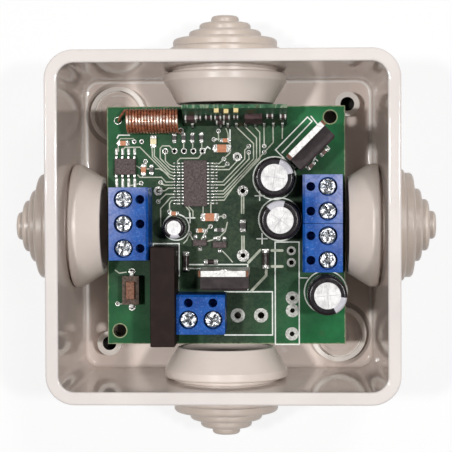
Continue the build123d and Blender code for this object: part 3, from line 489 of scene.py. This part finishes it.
def can_look():
    """Bare aluminium with faint brushing, and two crossed scores on each large top."""
    look = Shader("can_aluminium")
    streak = look.noise(0.16, detail=4.0, stretch=(1.0, 0.08, 1.0))
    scores = []
    for x, y, radius, angle in STRIPES:
        along, across = look.turned(x, y, angle - 50.0)
        near, far = look.absolute(along), look.absolute(across)
        thin = look.below(look.math("MINIMUM", near, far), 0.07 if radius > SMALL_CAPACITOR else 0.0)
        scores.append(look.times(thin, look.below(look.most(near, far), 0.55 * radius)))
    bright = look.tones(look.noise(1.2, detail=4.0), (194, 192, 192), (226, 224, 223))
    shade = look.mix(look.times(look.most(*scores), 0.5), bright, (150, 148, 150))
    return look.set(Base_Color=shade, Metallic=0.25, Roughness=look.span(streak, 0.3, 0.7, 0.24, 0.36),
                    Normal=look.bump(streak, 0.012))


def copper_look():
    """Enamelled copper wire, with a painted highlight along the antenna's upper side."""
    look = Shader("enamelled_copper")
    _, y, z = look.parts()
    shade = look.tones(look.noise(0.9, detail=4.0), (136, 76, 52), (198, 128, 94))
    # A painted highlight along the upper side of the antenna's turns
    painted_highlight = look.times(look.span(z, COIL_TOP - 0.34, COIL_TOP - 0.09),
                      look.span(y, COIL_START[1] - 1.15, COIL_START[1] - 0.45),
                      look.span(look.noise(1.1, detail=2.0), 0.36, 0.56), 0.85)
    return look.set(Base_Color=look.mix(painted_highlight, shade, (252, 236, 222)), Metallic=0.45,
                    Roughness=look.dull(0.4, 0.2, 0.3), Coat_Weight=1.0, Coat_Roughness=0.08,
                    Normal=look.bump(look.noise(0.5), 0.006))


cage_brass = metal("cage_brass", (196, 180, 140), (220, 206, 170), 0.3)
black_plastic = plastic("black_plastic", (30, 27, 27), (40, 36, 35), 0.45, patch=2.0, specular=0.15)
pin_tin = metal("pin_tin", (158, 156, 152), (206, 204, 199), 0.24, relief=0.03, metallic=0.5)
iron_plate = metal("iron_plate", (150, 150, 150), (182, 181, 180), 0.35)
copper_wire = copper_look()
epoxy = chip_look()
solder_bright = metal("solder_bright", (126, 125, 121), (216, 214, 209), 0.22, patch=0.4, grain=0.15,
                      relief=0.05, metallic=0.4)

# The look of each CAD node, by the start of its name
LOOKS = {
    "box_shell": shell_look(),
    "grommet": grommet_look(),
    "circuit_board": board_look(),
    "terminal_housing": terminal_look(),
    "terminal_contacts": cage_brass,
    "clamp_screw": screw_look(),
    "clamp_cage": cage_brass,
    "relay_case": plastic("relay_plastic", (36, 27, 25), (44, 33, 30), 0.4, patch=3.0, grain=0.3,
                          specular=0.05),
    "relay_base": black_plastic,
    "relay_pins": pin_tin,
    "relay_yoke": iron_plate,
    "relay_coil": copper_wire,
    "relay_armature": iron_plate,
    "capacitor_cans": can_look(),
    "capacitor_sleeves": sleeve_look(),
    "capacitor_bungs": plastic("bung_rubber", (26, 25, 25), (36, 34, 34), 0.6, patch=1.0),
    "capacitor_leads": pin_tin,
    "power_device_bodies": plastic("power_epoxy", (50, 42, 44), (64, 55, 56), 0.5, patch=1.5, grain=0.2,
                                   relief=0.02, specular=0.15),
    "power_device_leadframes": leadframe_look(),
    "controller_body": epoxy,
    "controller_leads": lead_look("controller_lead_tin", CONTROLLER[0], 0, CONTROLLER_HALF),
    "small_chip_bodies": epoxy,
    "small_chip_leads": lead_look("small_chip_lead_tin", MEMORY[1], 1, MEMORY_HALF),
    "receiver_board": module_look(),
    "receiver_parts": plastic("module_parts", (58, 42, 44), (88, 68, 68), 0.5, patch=1.3, specular=0.15),
    "receiver_pins": pin_tin,
    "antenna_coil": copper_wire,
    "button_housing": black_plastic,
    "button_cover": plastic("button_metal", (62, 50, 43), (98, 82, 71), 0.45, patch=0.5, relief=0.03,
                            specular=0.12),
    "button_plunger": plastic("button_brown", (96, 64, 50), (142, 100, 80), 0.5, patch=0.4, specular=0.15),
    "button_dome": pin_tin,
    "button_leads": pin_tin,
    "chip_capacitor_bodies": plastic("ceramic_brown", (172, 108, 74), (190, 126, 90), 0.45, patch=0.5,
                                     grain=0.15),
    "chip_resistor_bodies": resistor_look(),
    "lamp_body": plastic("lamp_cream", (214, 200, 156), (232, 220, 184), 0.35, patch=0.6, grain=0.2),
    "chip_end_caps": solder_bright,
    "diode_bodies": plastic("diode_glass", (40, 34, 34), (66, 56, 54), 0.2, patch=0.6, grain=0.2),
    "diode_end_caps": solder_bright,
}
for name, node in nodes.items():
    look = next(look for start, look in LOOKS.items() if name.startswith(start))
    if not node.material_slots:
        node.data.materials.append(look)
    for slot in node.material_slots:
        slot.material = look


def add_piece(name, mesh, material, smooth=None):
    """A new piece that rides on the box, made of a drawn mesh; smooth below an angle between its faces."""
    bmesh.ops.recalc_face_normals(mesh, faces=mesh.faces)
    data = bpy.data.meshes.new(name)
    mesh.to_mesh(data)
    mesh.free()
    piece = bpy.data.objects.new(name, data)
    scene.collection.objects.link(piece)
    data.materials.append(material)
    if smooth is not None:
        data.set_sharp_from_angle(angle=math.radians(smooth))
    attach(piece, BODY)
    return piece


def on_board(x, y):
    """A place on the board in metres."""
    return Vector((x * MM, y * MM))


# A point of the photograph, the board's place under it, and pixels to the millimetre
PHOTO_POINT = (288.7, 228.0)
POINT_ON_BOARD = (13.0, -0.65)
PHOTO_SCALE = (4.77, 4.781)


def spot(x, y):
    """The board's place in metres of a point measured on the photograph."""
    return on_board(POINT_ON_BOARD[0] + (x - PHOTO_POINT[0]) / PHOTO_SCALE[0],
                    POINT_ON_BOARD[1] + (PHOTO_POINT[1] - y) / PHOTO_SCALE[1])


def leftward(way):
    """A direction turned left by a right angle."""
    return Vector((-way.y, way.x))


class Sheetwork:
    """Thin printed or plated shapes lying on the board, gathered into one mesh."""

    HAIR = 0.0002

    def __init__(self, thickness):
        self.mesh = bmesh.new()
        self.low = BOARD_TOP * MM
        self.thickness = thickness * MM
        self.count = 0

    def top(self):
        """Each shape is a hair thicker than the last, so that no two tops lie in one plane."""
        self.count += 1
        return self.low + self.thickness + self.count * self.HAIR * MM

    def prism(self, outline):
        """A closed flat shape from its outline."""
        high = self.top()
        below = [self.mesh.verts.new((p.x, p.y, self.low)) for p in outline]
        above = [self.mesh.verts.new((p.x, p.y, high)) for p in outline]
        self.mesh.faces.new(above)
        self.mesh.faces.new(below[::-1])
        for i in range(len(outline)):
            j = (i + 1) % len(outline)
            self.mesh.faces.new((below[i], below[j], above[j], above[i]))

    def stroke(self, points, width):
        """A line of constant width with round ends, through points in metres."""
        half = width * MM / 2
        ways = [(after - before).normalized() for before, after in zip(points, points[1:])]
        left, right = [], []
        for point, before, after in zip(points, ways[:1] + ways, ways + ways[-1:]):
            side = leftward((before + after).normalized())
            reach = half / max(0.4, side.dot(leftward(after)))
            left.append(point + side * reach)
            right.append(point - side * reach)
        start, end = [[centre + (leftward(way) * math.cos(a) + way * math.sin(a)) * half
                       for a in (math.pi / 4, math.pi / 2, 3 * math.pi / 4)]
                      for centre, way in ((points[0], -ways[0]), (points[-1], ways[-1]))]
        self.prism(right + end[::-1] + left[::-1] + start[::-1])

    def ring(self, centre, outer, inner, segments=28, square=False):
        """A flat ring, or a square pad with a round hole."""
        high = self.top()
        rows = []
        for k in range(segments):
            angle = math.radians(360.0 * (k + 0.5 * square) / segments)
            way = Vector((math.cos(angle), math.sin(angle)))
            reach = outer / max(abs(way.x), abs(way.y)) if square else outer
            out, into = centre + way * reach * MM, centre + way * inner * MM
            rows.append([self.mesh.verts.new((p.x, p.y, z)) for p, z in
                         ((into, self.low), (out, self.low), (out, high), (into, high))])
        for a, b in zip(rows, rows[1:] + rows[:1]):
            for i in range(4):
                j = (i + 1) % 4
                self.mesh.faces.new((a[i], b[i], b[j], a[j]))

    def pillow(self, x, y, length, width, height, turn=0.0):
        """A rounded heap of solder over a pad."""
        steps = 6
        centre = on_board(x, y)
        angle = math.radians(turn)
        along = Vector((math.cos(angle), math.sin(angle)))
        across = leftward(along)
        shares = [2 * i / steps - 1 for i in range(steps + 1)]
        rows = []
        for u in shares:
            row = []
            for v in shares:
                squeeze = 1.0 - 0.12 * abs(u * v) ** 2
                p = (centre + along * (u * squeeze * length * MM / 2)
                     + across * (v * squeeze * width * MM / 2))
                rise = height * MM * (1 - abs(u) ** 4) ** 0.5 * (1 - abs(v) ** 4) ** 0.5
                row.append(self.mesh.verts.new((p.x, p.y, self.low + self.thickness + rise)))
            rows.append(row)
        for a, b in zip(rows, rows[1:]):
            for j in range(steps):
                self.mesh.faces.new((a[j], b[j], b[j + 1], a[j + 1]))
        border = ([row[0] for row in rows] + rows[-1][1:] + [row[-1] for row in rows[-2::-1]]
                  + rows[0][-2:0:-1])
        base = [self.mesh.verts.new((v.co.x, v.co.y, self.low)) for v in border]
        for i in range(len(border)):
            j = (i + 1) % len(border)
            self.mesh.faces.new((base[i], base[j], border[j], border[i]))
        self.mesh.faces.new(base[::-1])


# Copper traces, in the photograph's pixels; the rows are the controller's pads, counted from the rear
FIRST_ROW = 163.0
ROW_STEP = 3.06
LEFT_PADS = 174.5
RIGHT_PADS = 214.5


def left_row(number):
    return (LEFT_PADS, FIRST_ROW + ROW_STEP * (number - 1))


def right_row(number):
    return (RIGHT_PADS, left_row(number)[1])


FINE_WIDTH = 0.24
FINE_TRACES = [
    [(166, 150), (166, 160), (170, 164), left_row(2)],
    [(173, 148), (170, 145), (163, 145), (160.8, 147.5), (160.8, 157.5), (170.5, 167.5), left_row(3)],
    [(155, 147), (154.8, 155), (170.5, 171), left_row(4)],
    [(152.5, 145.5), (153, 156), (170.5, 174), left_row(5)],
    [(122.5, 150), (125.5, 146.2), (140.5, 146.2), (170.5, 177), left_row(6)],
    [(138, 174), (140.5, 176.5), (162, 176.5), (166.5, 181.3), left_row(7)],
    [(161.2, 181.9), (165, 184.4), left_row(8)],
    [(158.7, 190.3), (165.5, 190), (169, 187.4), left_row(9)],
    [(158.7, 201), (166.5, 193.5), left_row(11)],
    [(161, 226), (161, 208), (171, 197), left_row(12)],
    [(170, 210), (170, 203), (172, 200), left_row(13)],
    *[[(x, 143), (x, 147.5)] for x in (184.4, 193.5, 202.6)],
    [(202.6, 153), (199, 157.5), (181, 157.5), (178.3, 160), (178.3, 163)],
    [(224.8, 158.4), (220, 163), right_row(1)],
    [(228.1, 163.4), (225, 166.1), right_row(2)],
    [(238, 156.3), (238, 160.5), (230, 169), right_row(3)],
    [(237.5, 126.5), (254.5, 143), (254.5, 158.5), (224, 190.5), right_row(10)],
    [(246.5, 126.5), (257.5, 137.5), (257.5, 158.5), (224.5, 193.6), right_row(11)],
    [(255.8, 126.5), (260.8, 131.8), (260.8, 158.5), (224.5, 196.7), right_row(12)],
    [(265, 126), (265.2, 145.7)],
    [(274, 126), (274.3, 142), (265.2, 151.8), (233, 188), (225, 199.7), right_row(13)],
    [(283.5, 127), (283.2, 138)],
    [(249.7, 145.7), (245.7, 149.5), (245.7, 158.5), (223.5, 181.4), right_row(7)],
    [(249.7, 151.8), (250, 158.5), (225, 184.4), right_row(8)],
    [(211.5, 202), (211.5, 216)],
    [(189, 206), (193.5, 210.5), (193.5, 218)],
    [(186.5, 206), (190, 210), (190, 216)],
    [(203.7, 206), (203.7, 213)],
    [(129, 185), (135, 184), (141.5, 182.3)],
    [(146, 160.5), (147, 166)],
    [(137, 165), (142, 168), (150, 168)],
    [(156, 168), (160, 168), (170, 174)],
    [(119, 150), (118, 141), (121, 137.5), (134, 137.5)],
    [(219.4, 130.4), (219.5, 140)],
    [(214.8, 138.7), (221, 138.5)],
    [(227, 128), (229, 133), (229.5, 142)],
    [(231, 141), (231, 152), (224.8, 158)],
    [(224.8, 215.9), (219, 216)],
    [(223, 251), (228, 256), (233, 262)],
    [(190, 233), (187, 240), (184, 243)],
    [(190, 233), (193, 239), (198, 243)],
    [(211, 225), (206, 231), (202, 239)],
    [(228, 222), (226, 231), (219, 238), (208, 241)],
    [(115, 270), (119, 273), (126, 272)],
    [(117, 304), (122, 304)],
    [(143, 250), (152, 250), (156, 246)],
]
MIDDLE_WIDTH = 0.55
MIDDLE_TRACES = [
    [(261, 250), (249, 262.5)],
    [(266.8, 270), (266.8, 275.5), (252, 291)],
    [(272.5, 250.5), (283, 250.5)],
    [(272.5, 266.5), (283, 266.5)],
]
# Traces that run in pairs, each this far to one side of the line
TWIN_WIDTH = 0.3
TWIN_SHIFT = 0.22
TWIN_TRACES = [[(243.4, 196), (243.4, 213)], [(243.6, 236), (243.6, 250)]]
traces = Sheetwork(thickness=0.02)
for line in FINE_TRACES:
    traces.stroke([spot(*point) for point in line], FINE_WIDTH)
for line in MIDDLE_TRACES:
    traces.stroke([spot(*point) for point in line], MIDDLE_WIDTH)
for side in (-1, 1):
    for line in TWIN_TRACES:
        traces.stroke([spot(*point) + on_board(side * TWIN_SHIFT, 0) for point in line], TWIN_WIDTH)
trace_metal = plastic("trace_metal", (148, 156, 138), (182, 184, 168), 0.4, patch=1.0, grain=0.2)
add_piece("board_traces", traces.mesh, trace_metal)

# Printed marks, in the photograph's pixels: lines, plus signs, and a ring round each capacitor
PRINT_WIDTH = 0.26
PRINT_LINES = [
    [(275.8, 318), (275.8, 242), (300, 242)],
    [(299.8, 242), (299.8, 345)],
    [(275.8, 318), (275.8, 345), (299.8, 345)],
    [(225, 292), (273, 292), (273, 335.5), (225, 335.5)],
    [(185, 264.5), (248.3, 264.5), (248.3, 290)],
    [(185, 268.5), (248.3, 268.5)],
    [(308.5, 116.8), (276.5, 149.5), (285, 158)],
    [(308.5, 116.8), (313, 121), (283, 152.5)],
    [(293, 164.5), (295.5, 168), (298.5, 165.5)],
    [(312.5, 156), (318.5, 160.5)],
    [(317.5, 153.5), (313.5, 163)],
    [(306, 166), (309, 168.5)],
    [(327.5, 145), (330.5, 148.5), (328.5, 151)],
    [(117.5, 137), (119, 134), (130, 134)],
    [(153.5, 254), (153.5, 243.3), (179.5, 243.3), (179.5, 276)],
    [(177, 247), (177, 276)],
    [(178.5, 280), (178.5, 291)],
    [(175.5, 280), (175.5, 291)],
    [(153, 250), (160, 250), (160, 260), (153, 260), (153, 250)],
    [(161, 257), (165, 257)],
    [(117.2, 173.3), (135.5, 173.3)],
    [(312, 116), (320, 126)],
    [(300, 278), (308, 278)],
    [(231, 138.5), (231, 129)],
    [(205, 150), (208.5, 146), (211, 148)],
]
# Plus signs: middle and half the length
PLUS_MARKS = [(262.8, 238.6, 5.2), (260.5, 195.5, 4.6), (190.5, 217.5, 4.8)]
marks = Sheetwork(thickness=0.025)
for line in PRINT_LINES:
    marks.stroke([spot(*point) for point in line], PRINT_WIDTH)
for x, y, reach in PLUS_MARKS:
    marks.stroke([spot(x - reach, y), spot(x + reach, y)], PRINT_WIDTH)
    marks.stroke([spot(x, y - reach), spot(x, y + reach)], PRINT_WIDTH)
for x, y, radius, _ in STRIPES:
    inner = radius + (0.35 if radius > SMALL_CAPACITOR else 0.3)
    marks.ring(on_board(x, y), inner + PRINT_WIDTH, inner, segments=56)
white_print = plastic("white_print", (206, 210, 202), (228, 230, 224), 0.55, patch=0.8, grain=0.2)
add_piece("board_markings", marks.mesh, white_print)


# Loops of the board's upper edge between these widths are holes; SAME_LEVEL and SAME_HOLE are how far off
# an edge or a listed hole may lie
HOLE_WIDTHS = (0.2, 10.0)
SAME_LEVEL = 0.001
SAME_HOLE = 0.5


def board_holes():
    """Centres, in metres, and radii of the board's own holes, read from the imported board."""
    mesh = bmesh.new()
    mesh.from_mesh(nodes["circuit_board"].data)
    links = {}
    for edge in mesh.edges:
        level = all(abs(v.co.z - BOARD_TOP * MM) < SAME_LEVEL * MM for v in edge.verts)
        if level and any(abs(face.normal.z) < 0.5 for face in edge.link_faces):
            first, second = edge.verts
            links.setdefault(first.index, []).append(second.index)
            links.setdefault(second.index, []).append(first.index)
    mesh.verts.ensure_lookup_table()
    found, seen = [], set()
    for start in links:
        if start in seen:
            continue
        loop, queue = [], [start]
        while queue:
            here = queue.pop()
            if here in seen:
                continue
            seen.add(here)
            loop.append(mesh.verts[here].co.xy)
            queue += links[here]
        low = Vector((min(p.x for p in loop), min(p.y for p in loop)))
        high = Vector((max(p.x for p in loop), max(p.y for p in loop)))
        width = (high.x - low.x) / MM
        if HOLE_WIDTHS[0] < width < HOLE_WIDTHS[1]:
            found.append(((low + high) / 2, width / 2))
    mesh.free()
    return found


def listed(centre, table):
    """The outer size listed for a hole, or none."""
    for x, y, outer in table:
        if (centre - on_board(x, y)).length < SAME_HOLE * MM:
            return outer
    return None


# Holes over this radius are for the board's screws; round the others lies solder, from this far off the hole
SCREW_HOLE_RADIUS = 1.2
SOLDER_GAP = 0.005
# Pads that differ from the rule: board place and outer radius, or half the side of the square one
RING_SIZES = [(x, 15.6, 0.62) for x in (-12.76, -10.78, -8.8, -6.82)]
RING_SIZES += [(3.55, 7.2, 1.15), (3.55, -6.4, 1.3), (-19.9, -9.75, 0.72), (-19.9, -17.25, 0.72),
               (-22.4, 22.0, 0.0)]
DULL_RING_SIZES = [(13.7, -5.4, 0.95), (13.7, -7.9, 0.95), (13.9, -15.35, 1.4), (13.9, -18.0, 1.4),
                   (13.8, -22.9, 1.4), (2.4, -19.0, 1.5), (7.3, -19.0, 1.5)]
SQUARE_PADS = [(-4.84, 15.6, 0.6)]
# The module's row of pins has no rings
MODULE_PIN_ROW = 20.6
# Small and large vias, and one lone ring, in the photograph's pixels
VIAS = [(134.7, 140.6), (142.2, 140.6), (146, 160.5), (219.4, 130.4), (214.8, 138.7), (224.8, 215.9),
        (117, 304), (228.1, 163.4), (224.8, 158.4), (161.2, 181.9), (158.7, 201), (249.7, 145.7),
        (249.7, 151.8), (265.2, 145.7), (265.2, 151.8), (141.5, 182.3), (170, 211), (190, 233),
        (211, 226), (206, 231), (219, 238)]
BIG_VIAS = [(238.1, 156.3), (158.7, 190.3)]
LONE_RING = (118.3, 119.5)
# A ring with so small a hole is as good as a disc
DISC_HOLE = 0.0001
holes = board_holes()
pads, dull_pads = Sheetwork(thickness=0.035), Sheetwork(thickness=0.035)
# Dark discs drawn as painted shade inside the via holes
dark = Sheetwork(thickness=0.012)
for centre, radius in holes:
    if radius > SCREW_HOLE_RADIUS or abs(centre.y / MM - MODULE_PIN_ROW) < 0.2:
        continue
    square = listed(centre, SQUARE_PADS)
    dull = listed(centre, DULL_RING_SIZES)
    reach = listed(centre, RING_SIZES)
    if reach is None:
        reach = min(radius + 0.85, radius * 1.7)
    if square is not None:
        pads.ring(centre, square, radius + SOLDER_GAP, segments=24, square=True)
    elif dull is not None:
        dull_pads.ring(centre, dull, radius + SOLDER_GAP, segments=36)
    elif reach > radius:
        pads.ring(centre, reach, radius + SOLDER_GAP)
pads.ring(spot(*LONE_RING), 0.8, 0.68, segments=32)
for places, outer, inner, segments, hole, hole_segments in ((VIAS, 0.47, 0.29, 20, 0.31, 16),
                                                            (BIG_VIAS, 0.95, 0.45, 28, 0.5, 20)):
    for x, y in places:
        pads.ring(spot(x, y), outer, inner, segments)
        dark.ring(spot(x, y), hole, DISC_HOLE, hole_segments)
painted_via_shade = plastic("painted_via_shade", (10, 10, 9), (22, 20, 18), 0.6, patch=0.5)
add_piece("board_via_hole_shade", dark.mesh, painted_via_shade)

# Solder at the chips' feet: how far out and how long; at the transistors': the place from their middle
CONTROLLER_FEET = [(3.7, 0.55), (4.45, 0.45)]
MEMORY_FEET = [(3.2, 1.5), (-3.5, 2.2)]
TRANSISTOR_FEET = [(-0.95, 1.25), (0.95, 1.25), (0.0, -1.25)]
for row in range(CONTROLLER_LEADS):
    y = CONTROLLER[1] + (row - (CONTROLLER_LEADS - 1) / 2) * CONTROLLER_PITCH
    for side in (-1, 1):
        for out, length in CONTROLLER_FEET:
            pads.pillow(CONTROLLER[0] + side * out, y, length, 0.34, 0.06)
for lead in range(MEMORY_LEADS):
    x = MEMORY[0] + (lead - (MEMORY_LEADS - 1) / 2) * MEMORY_PITCH
    for out, length in MEMORY_FEET:
        dull_pads.pillow(x, MEMORY[1] + out, 0.66, length, 0.08)
for x, y in TRANSISTORS:
    for aside, out in TRANSISTOR_FEET:
        pads.pillow(x + aside, y + out, 0.8, 0.9, 0.1)
# Small flat parts: place, length, width and turn
FLAT_PARTS = [
    *[(x, y, 3.2, 1.6, 0) for x, y in ((-0.8, 16.1), (-3.4, 1.7))],
    *[(x, y, 1.6, 0.8, 0) for x, y in ((-0.1, 17.8), (-11.0, 2.5), (-5.4, -1.1), (-1.4, -1.0))],
    *[(x, y, 1.6, 0.8, 45) for x, y in PINK_RESISTORS],
    *[(x, 18.4, 1.6, 0.8, 90) for x in (-10.8, -8.85, -7.0, -5.1)],
    (-15.65, 11.7, 1.6, 0.8, 90), (-17.3, 11.7, 2.0, 1.0, 90), (-21.6, 17.3, 2.0, 1.0, 0),
    (3.55, -0.15, 2.0, 1.25, 90), (-15.2, 17.65, 2.0, 1.25, 90), (-8.4, -7.6, 3.5, 1.4, 90),
    (8.3, -7.1, 3.6, 1.5, 90), (-3.2, -7.75, 2.3, 1.2, 0),
]
for x, y, length, width, turn in FLAT_PARTS:
    angle = math.radians(turn)
    for side in (-1, 1):
        reach = side * (length / 2 + 0.1)
        pads.pillow(x + reach * math.cos(angle), y + reach * math.sin(angle), 0.5, width, 0.12, turn)
add_piece("board_pads", pads.mesh, solder_bright, smooth=40)
dull_tin = metal("dull_tin", (138, 138, 132), (190, 189, 183), 0.34, patch=0.5, grain=0.2, relief=0.04,
                 metallic=0.35)
add_piece("board_spare_pads", dull_pads.mesh, dull_tin)

# Bare laminate round the board's two screw holes
rings = Sheetwork(thickness=0.02)
for centre, radius in holes:
    if radius > SCREW_HOLE_RADIUS:
        rings.ring(centre, radius + 0.24, radius + 0.01, segments=48)
laminate = plastic("bare_laminate", (112, 122, 88), (146, 150, 116), 0.6, patch=0.7, grain=0.2)
add_piece("board_hole_rings", rings.mesh, laminate)

# The antenna coil as a close winding of one enamelled wire, between its two holes in the board
START_HOLE = (-22.4, 22.0)
END_HOLE = (-9.45, 19.9)
STEPS_TO_A_TURN = 32
WIRE_SIDES = 14


def coil_point(turns):
    """The wire's middle after so many turns, measured from the board's top."""
    x, y, z = COIL_START
    angle = 2 * math.pi * turns
    return Vector((x + COIL_PITCH * turns, y + COIL_RADIUS * math.cos(angle),
                   z + COIL_RADIUS * math.sin(angle)))


def coil_path():
    """The wire's middle line, from below the board, round the coil and back."""
    path = [Vector((*START_HOLE, z)) for z in (-3.0, -1.0, 0.4, 1.0)]
    path.append(Vector((START_HOLE[0] + 0.35, START_HOLE[1] + 0.75, 1.9)))
    first = coil_point(0)
    path.append(Vector((first.x - 0.5, first.y - 0.05, 2.55)))
    path += [coil_point(k / STEPS_TO_A_TURN) for k in range(int(COIL_TURNS * STEPS_TO_A_TURN) + 1)]
    path.append(Vector((END_HOLE[0] - 0.1, END_HOLE[1] - 0.7, 2.1)))
    path += [Vector((*END_HOLE, z)) for z in (1.3, 0.4, -1.0, -3.0)]
    return path


def tube(path, radius, sides):
    """A round wire along a path measured from the board's top."""
    mesh = bmesh.new()
    lift = Vector((0, 0, BOARD_TOP * MM))
    points = [point * MM + lift for point in path]
    across = (points[1] - points[0]).normalized().orthogonal().normalized()
    rows = []
    for i, point in enumerate(points):
        ahead = (points[min(i + 1, len(points) - 1)] - points[max(i - 1, 0)]).normalized()
        across = (across - ahead * across.dot(ahead)).normalized()
        other = ahead.cross(across)
        rows.append([mesh.verts.new(point + (across * math.cos(a) + other * math.sin(a)) * radius * MM)
                     for a in (2 * math.pi * k / sides for k in range(sides))])
    for a, b in zip(rows, rows[1:]):
        for k in range(sides):
            j = (k + 1) % sides
            mesh.faces.new((a[k], a[j], b[j], b[k])).smooth = True
    mesh.faces.new(rows[0][::-1])
    mesh.faces.new(rows[-1])
    return mesh


antenna = add_piece("antenna_winding", tube(coil_path(), WIRE_RADIUS, WIRE_SIDES), copper_wire)
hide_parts("antenna_coil")

# The receiver module's face: a leaning plane with its parts' end caps and three gold pins
FACE_OUT = Vector((0, -math.cos(MODULE_LEAN), math.sin(MODULE_LEAN)))
FACE_UP = Vector((0, math.sin(MODULE_LEAN), math.cos(MODULE_LEAN)))
FACE_FOOT = Vector((0, *MODULE_FOOT)) + FACE_OUT * (MODULE_THICKNESS / 2)
# Parts on the face: place across and up it, width, height and depth
MODULE_PARTS = [(-7.0, 5.4, 2.2, 1.7, 0.9), (-5.35, 5.5, 0.8, 1.0, 0.6), (-3.3, 5.6, 1.2, 1.0, 0.6),
                (-1.4, 5.5, 1.2, 1.0, 0.6), (0.4, 5.6, 1.2, 1.0, 0.6), (2.3, 5.7, 0.8, 0.9, 0.5),
                (-1.0, 2.6, 1.6, 0.8, 0.6), (9.3, 6.3, 1.2, 1.0, 0.6), (12.0, 6.1, 1.1, 1.1, 0.7)]
GOLD_PINS = [(-1.52, 10.15), (0.44, 9.82), (2.45, 10.2)]
GOLD_PIN_SIZE = (0.95, 0.5, 0.85)


def raised_block(mesh, x, along, width, height, depth, chamfer):
    """A block standing on the module's face, with a chamfer round its outer face."""
    rows = []
    for out, inset in ((0.0, 0.0), (depth - chamfer, 0.0), (depth, chamfer)):
        half_x, half_up = width / 2 - inset, height / 2 - inset
        rows.append([mesh.verts.new((FACE_FOOT + FACE_UP * (along + j * half_up) + FACE_OUT * out
                                     + Vector((x + i * half_x, 0, 0))) * MM)
                     for i, j in ((-1, -1), (1, -1), (1, 1), (-1, 1))])
    mesh.faces.new(rows[0][::-1])
    mesh.faces.new(rows[2])
    for first, second in zip(rows, rows[1:]):
        for k in range(4):
            j = (k + 1) % 4
            mesh.faces.new((first[k], first[j], second[j], second[k]))


caps, gold = bmesh.new(), bmesh.new()
for x, along, width, height, depth in MODULE_PARTS:
    cap = 0.3 if width > 1.0 else 0.25
    for side in (-1, 1):
        middle = x + side * (width / 2 - cap / 2 + 0.08)
        raised_block(caps, middle, along, cap, height + 0.12, depth + 0.05, chamfer=0.06)
for x, along in GOLD_PINS:
    raised_block(gold, x, along, *GOLD_PIN_SIZE, chamfer=0.05)
module_caps = metal("module_caps", (190, 189, 184), (236, 234, 228), 0.3, patch=0.4, relief=0.03,
                    metallic=0.3)
gold_plate = metal("gold_plate", (226, 198, 128), (246, 230, 176), 0.3, patch=0.4, relief=0.02,
                   metallic=0.25)
add_piece("module_end_caps", caps, module_caps)
add_piece("module_gold_pins", gold, gold_plate)

# Camera
camera = bpy.data.objects.new("camera", bpy.data.cameras.new("camera"))
scene.collection.objects.link(camera)
camera.data.lens = CAMERA_LENS
camera.data.sensor_width = 36.0
camera.data.clip_start = 0.01
camera.location = CAMERA_PLACE
view = (CAMERA_TARGET - CAMERA_PLACE).normalized()
up = (Vector((0, 1, 0)) - view * view.y).normalized()
side = view.cross(up)
turn = Matrix.Rotation(-CAMERA_ROLL, 3, view)
side, up = turn @ side, turn @ up
camera.rotation_mode = "QUATERNION"
camera.rotation_quaternion = Matrix((side, up, -view)).transposed().to_quaternion()
scene.camera = camera

# Pale glowing paper just below the box, in metres, with painted dark shade under the box where the wall-screw
# holes look through
PAPER_REACH = 1.5
PAPER_LEVEL = -0.0002
PAPER_GLOW = 0.82
UNDER_BOX_HALF = 29.0
floor_data = bpy.data.meshes.new("floor")
corners = [(x * PAPER_REACH, y * PAPER_REACH, 0) for x, y in ((-1, -1), (1, -1), (1, 1), (-1, 1))]
floor_data.from_pydata(corners, [], [(0, 1, 2, 3)])
floor = bpy.data.objects.new("floor", floor_data)
scene.collection.objects.link(floor)
floor.location.z = PAPER_LEVEL
paper = Shader("floor_paper")
rays = paper.node("LightPath")
beside = paper.above(paper.reach(), UNDER_BOX_HALF)
seen = paper.most(rays.outputs["Is Camera Ray"], rays.outputs["Is Glossy Ray"])
blend = paper.node("MixShader")
paper.put(paper.times(beside, seen, PAPER_GLOW), blend.inputs[0])
paper.put(paper.surface.outputs[0], blend.inputs[1])
paper.put(paper.node("Emission").outputs[0], blend.inputs[2])
paper.put(blend.outputs[0], paper.tree.nodes["Material Output"].inputs["Surface"])
pale = paper.tones(paper.noise(60.0), (0.855, 0.855, 0.855, 1), (0.865, 0.865, 0.865, 1), 0.3, 0.7)
paper.set(Base_Color=paper.mix(beside, (34, 32, 29), pale), Roughness=0.9)
floor_data.materials.append(paper.material)

# Studio light: a white room, which the camera sees full and the box only dimly, and three soft lamps
ROOM_LIGHT = 0.07
world = bpy.data.worlds.new("studio")
world.use_nodes = True
scene.world = world
room = world.node_tree.nodes["Background"]
room.inputs["Color"].default_value = (1, 1, 1, 1)
rays = world.node_tree.nodes.new("ShaderNodeLightPath")
level = world.node_tree.nodes.new("ShaderNodeMapRange")
level.inputs["To Min"].default_value = ROOM_LIGHT
level.inputs["To Max"].default_value = 1.0
world.node_tree.links.new(rays.outputs["Is Camera Ray"], level.inputs["Value"])
world.node_tree.links.new(level.outputs["Result"], room.inputs["Strength"])

# Lamps: name, place and size in metres, and power; all point at the same place
LAMPS = [("left", (-0.22, 0.02, 0.66), 0.05, 2.25), ("right", (0.24, 0.02, 0.66), 0.05, 2.05),
         ("rear", (0.16, 0.26, 0.6), 0.12, 0.95)]
LAMP_TARGET = Vector((0, 0, 0.02))
for name, place, width, power in LAMPS:
    lamp = bpy.data.objects.new(name, bpy.data.lights.new(name, "AREA"))
    scene.collection.objects.link(lamp)
    lamp.data.shape = "DISK"
    lamp.data.size = width
    lamp.data.energy = power
    lamp.location = place
    lamp.rotation_mode = "QUATERNION"
    lamp.rotation_quaternion = (LAMP_TARGET - Vector(place)).to_track_quat("-Z", "Y")

scene.view_settings.view_transform = "Standard"
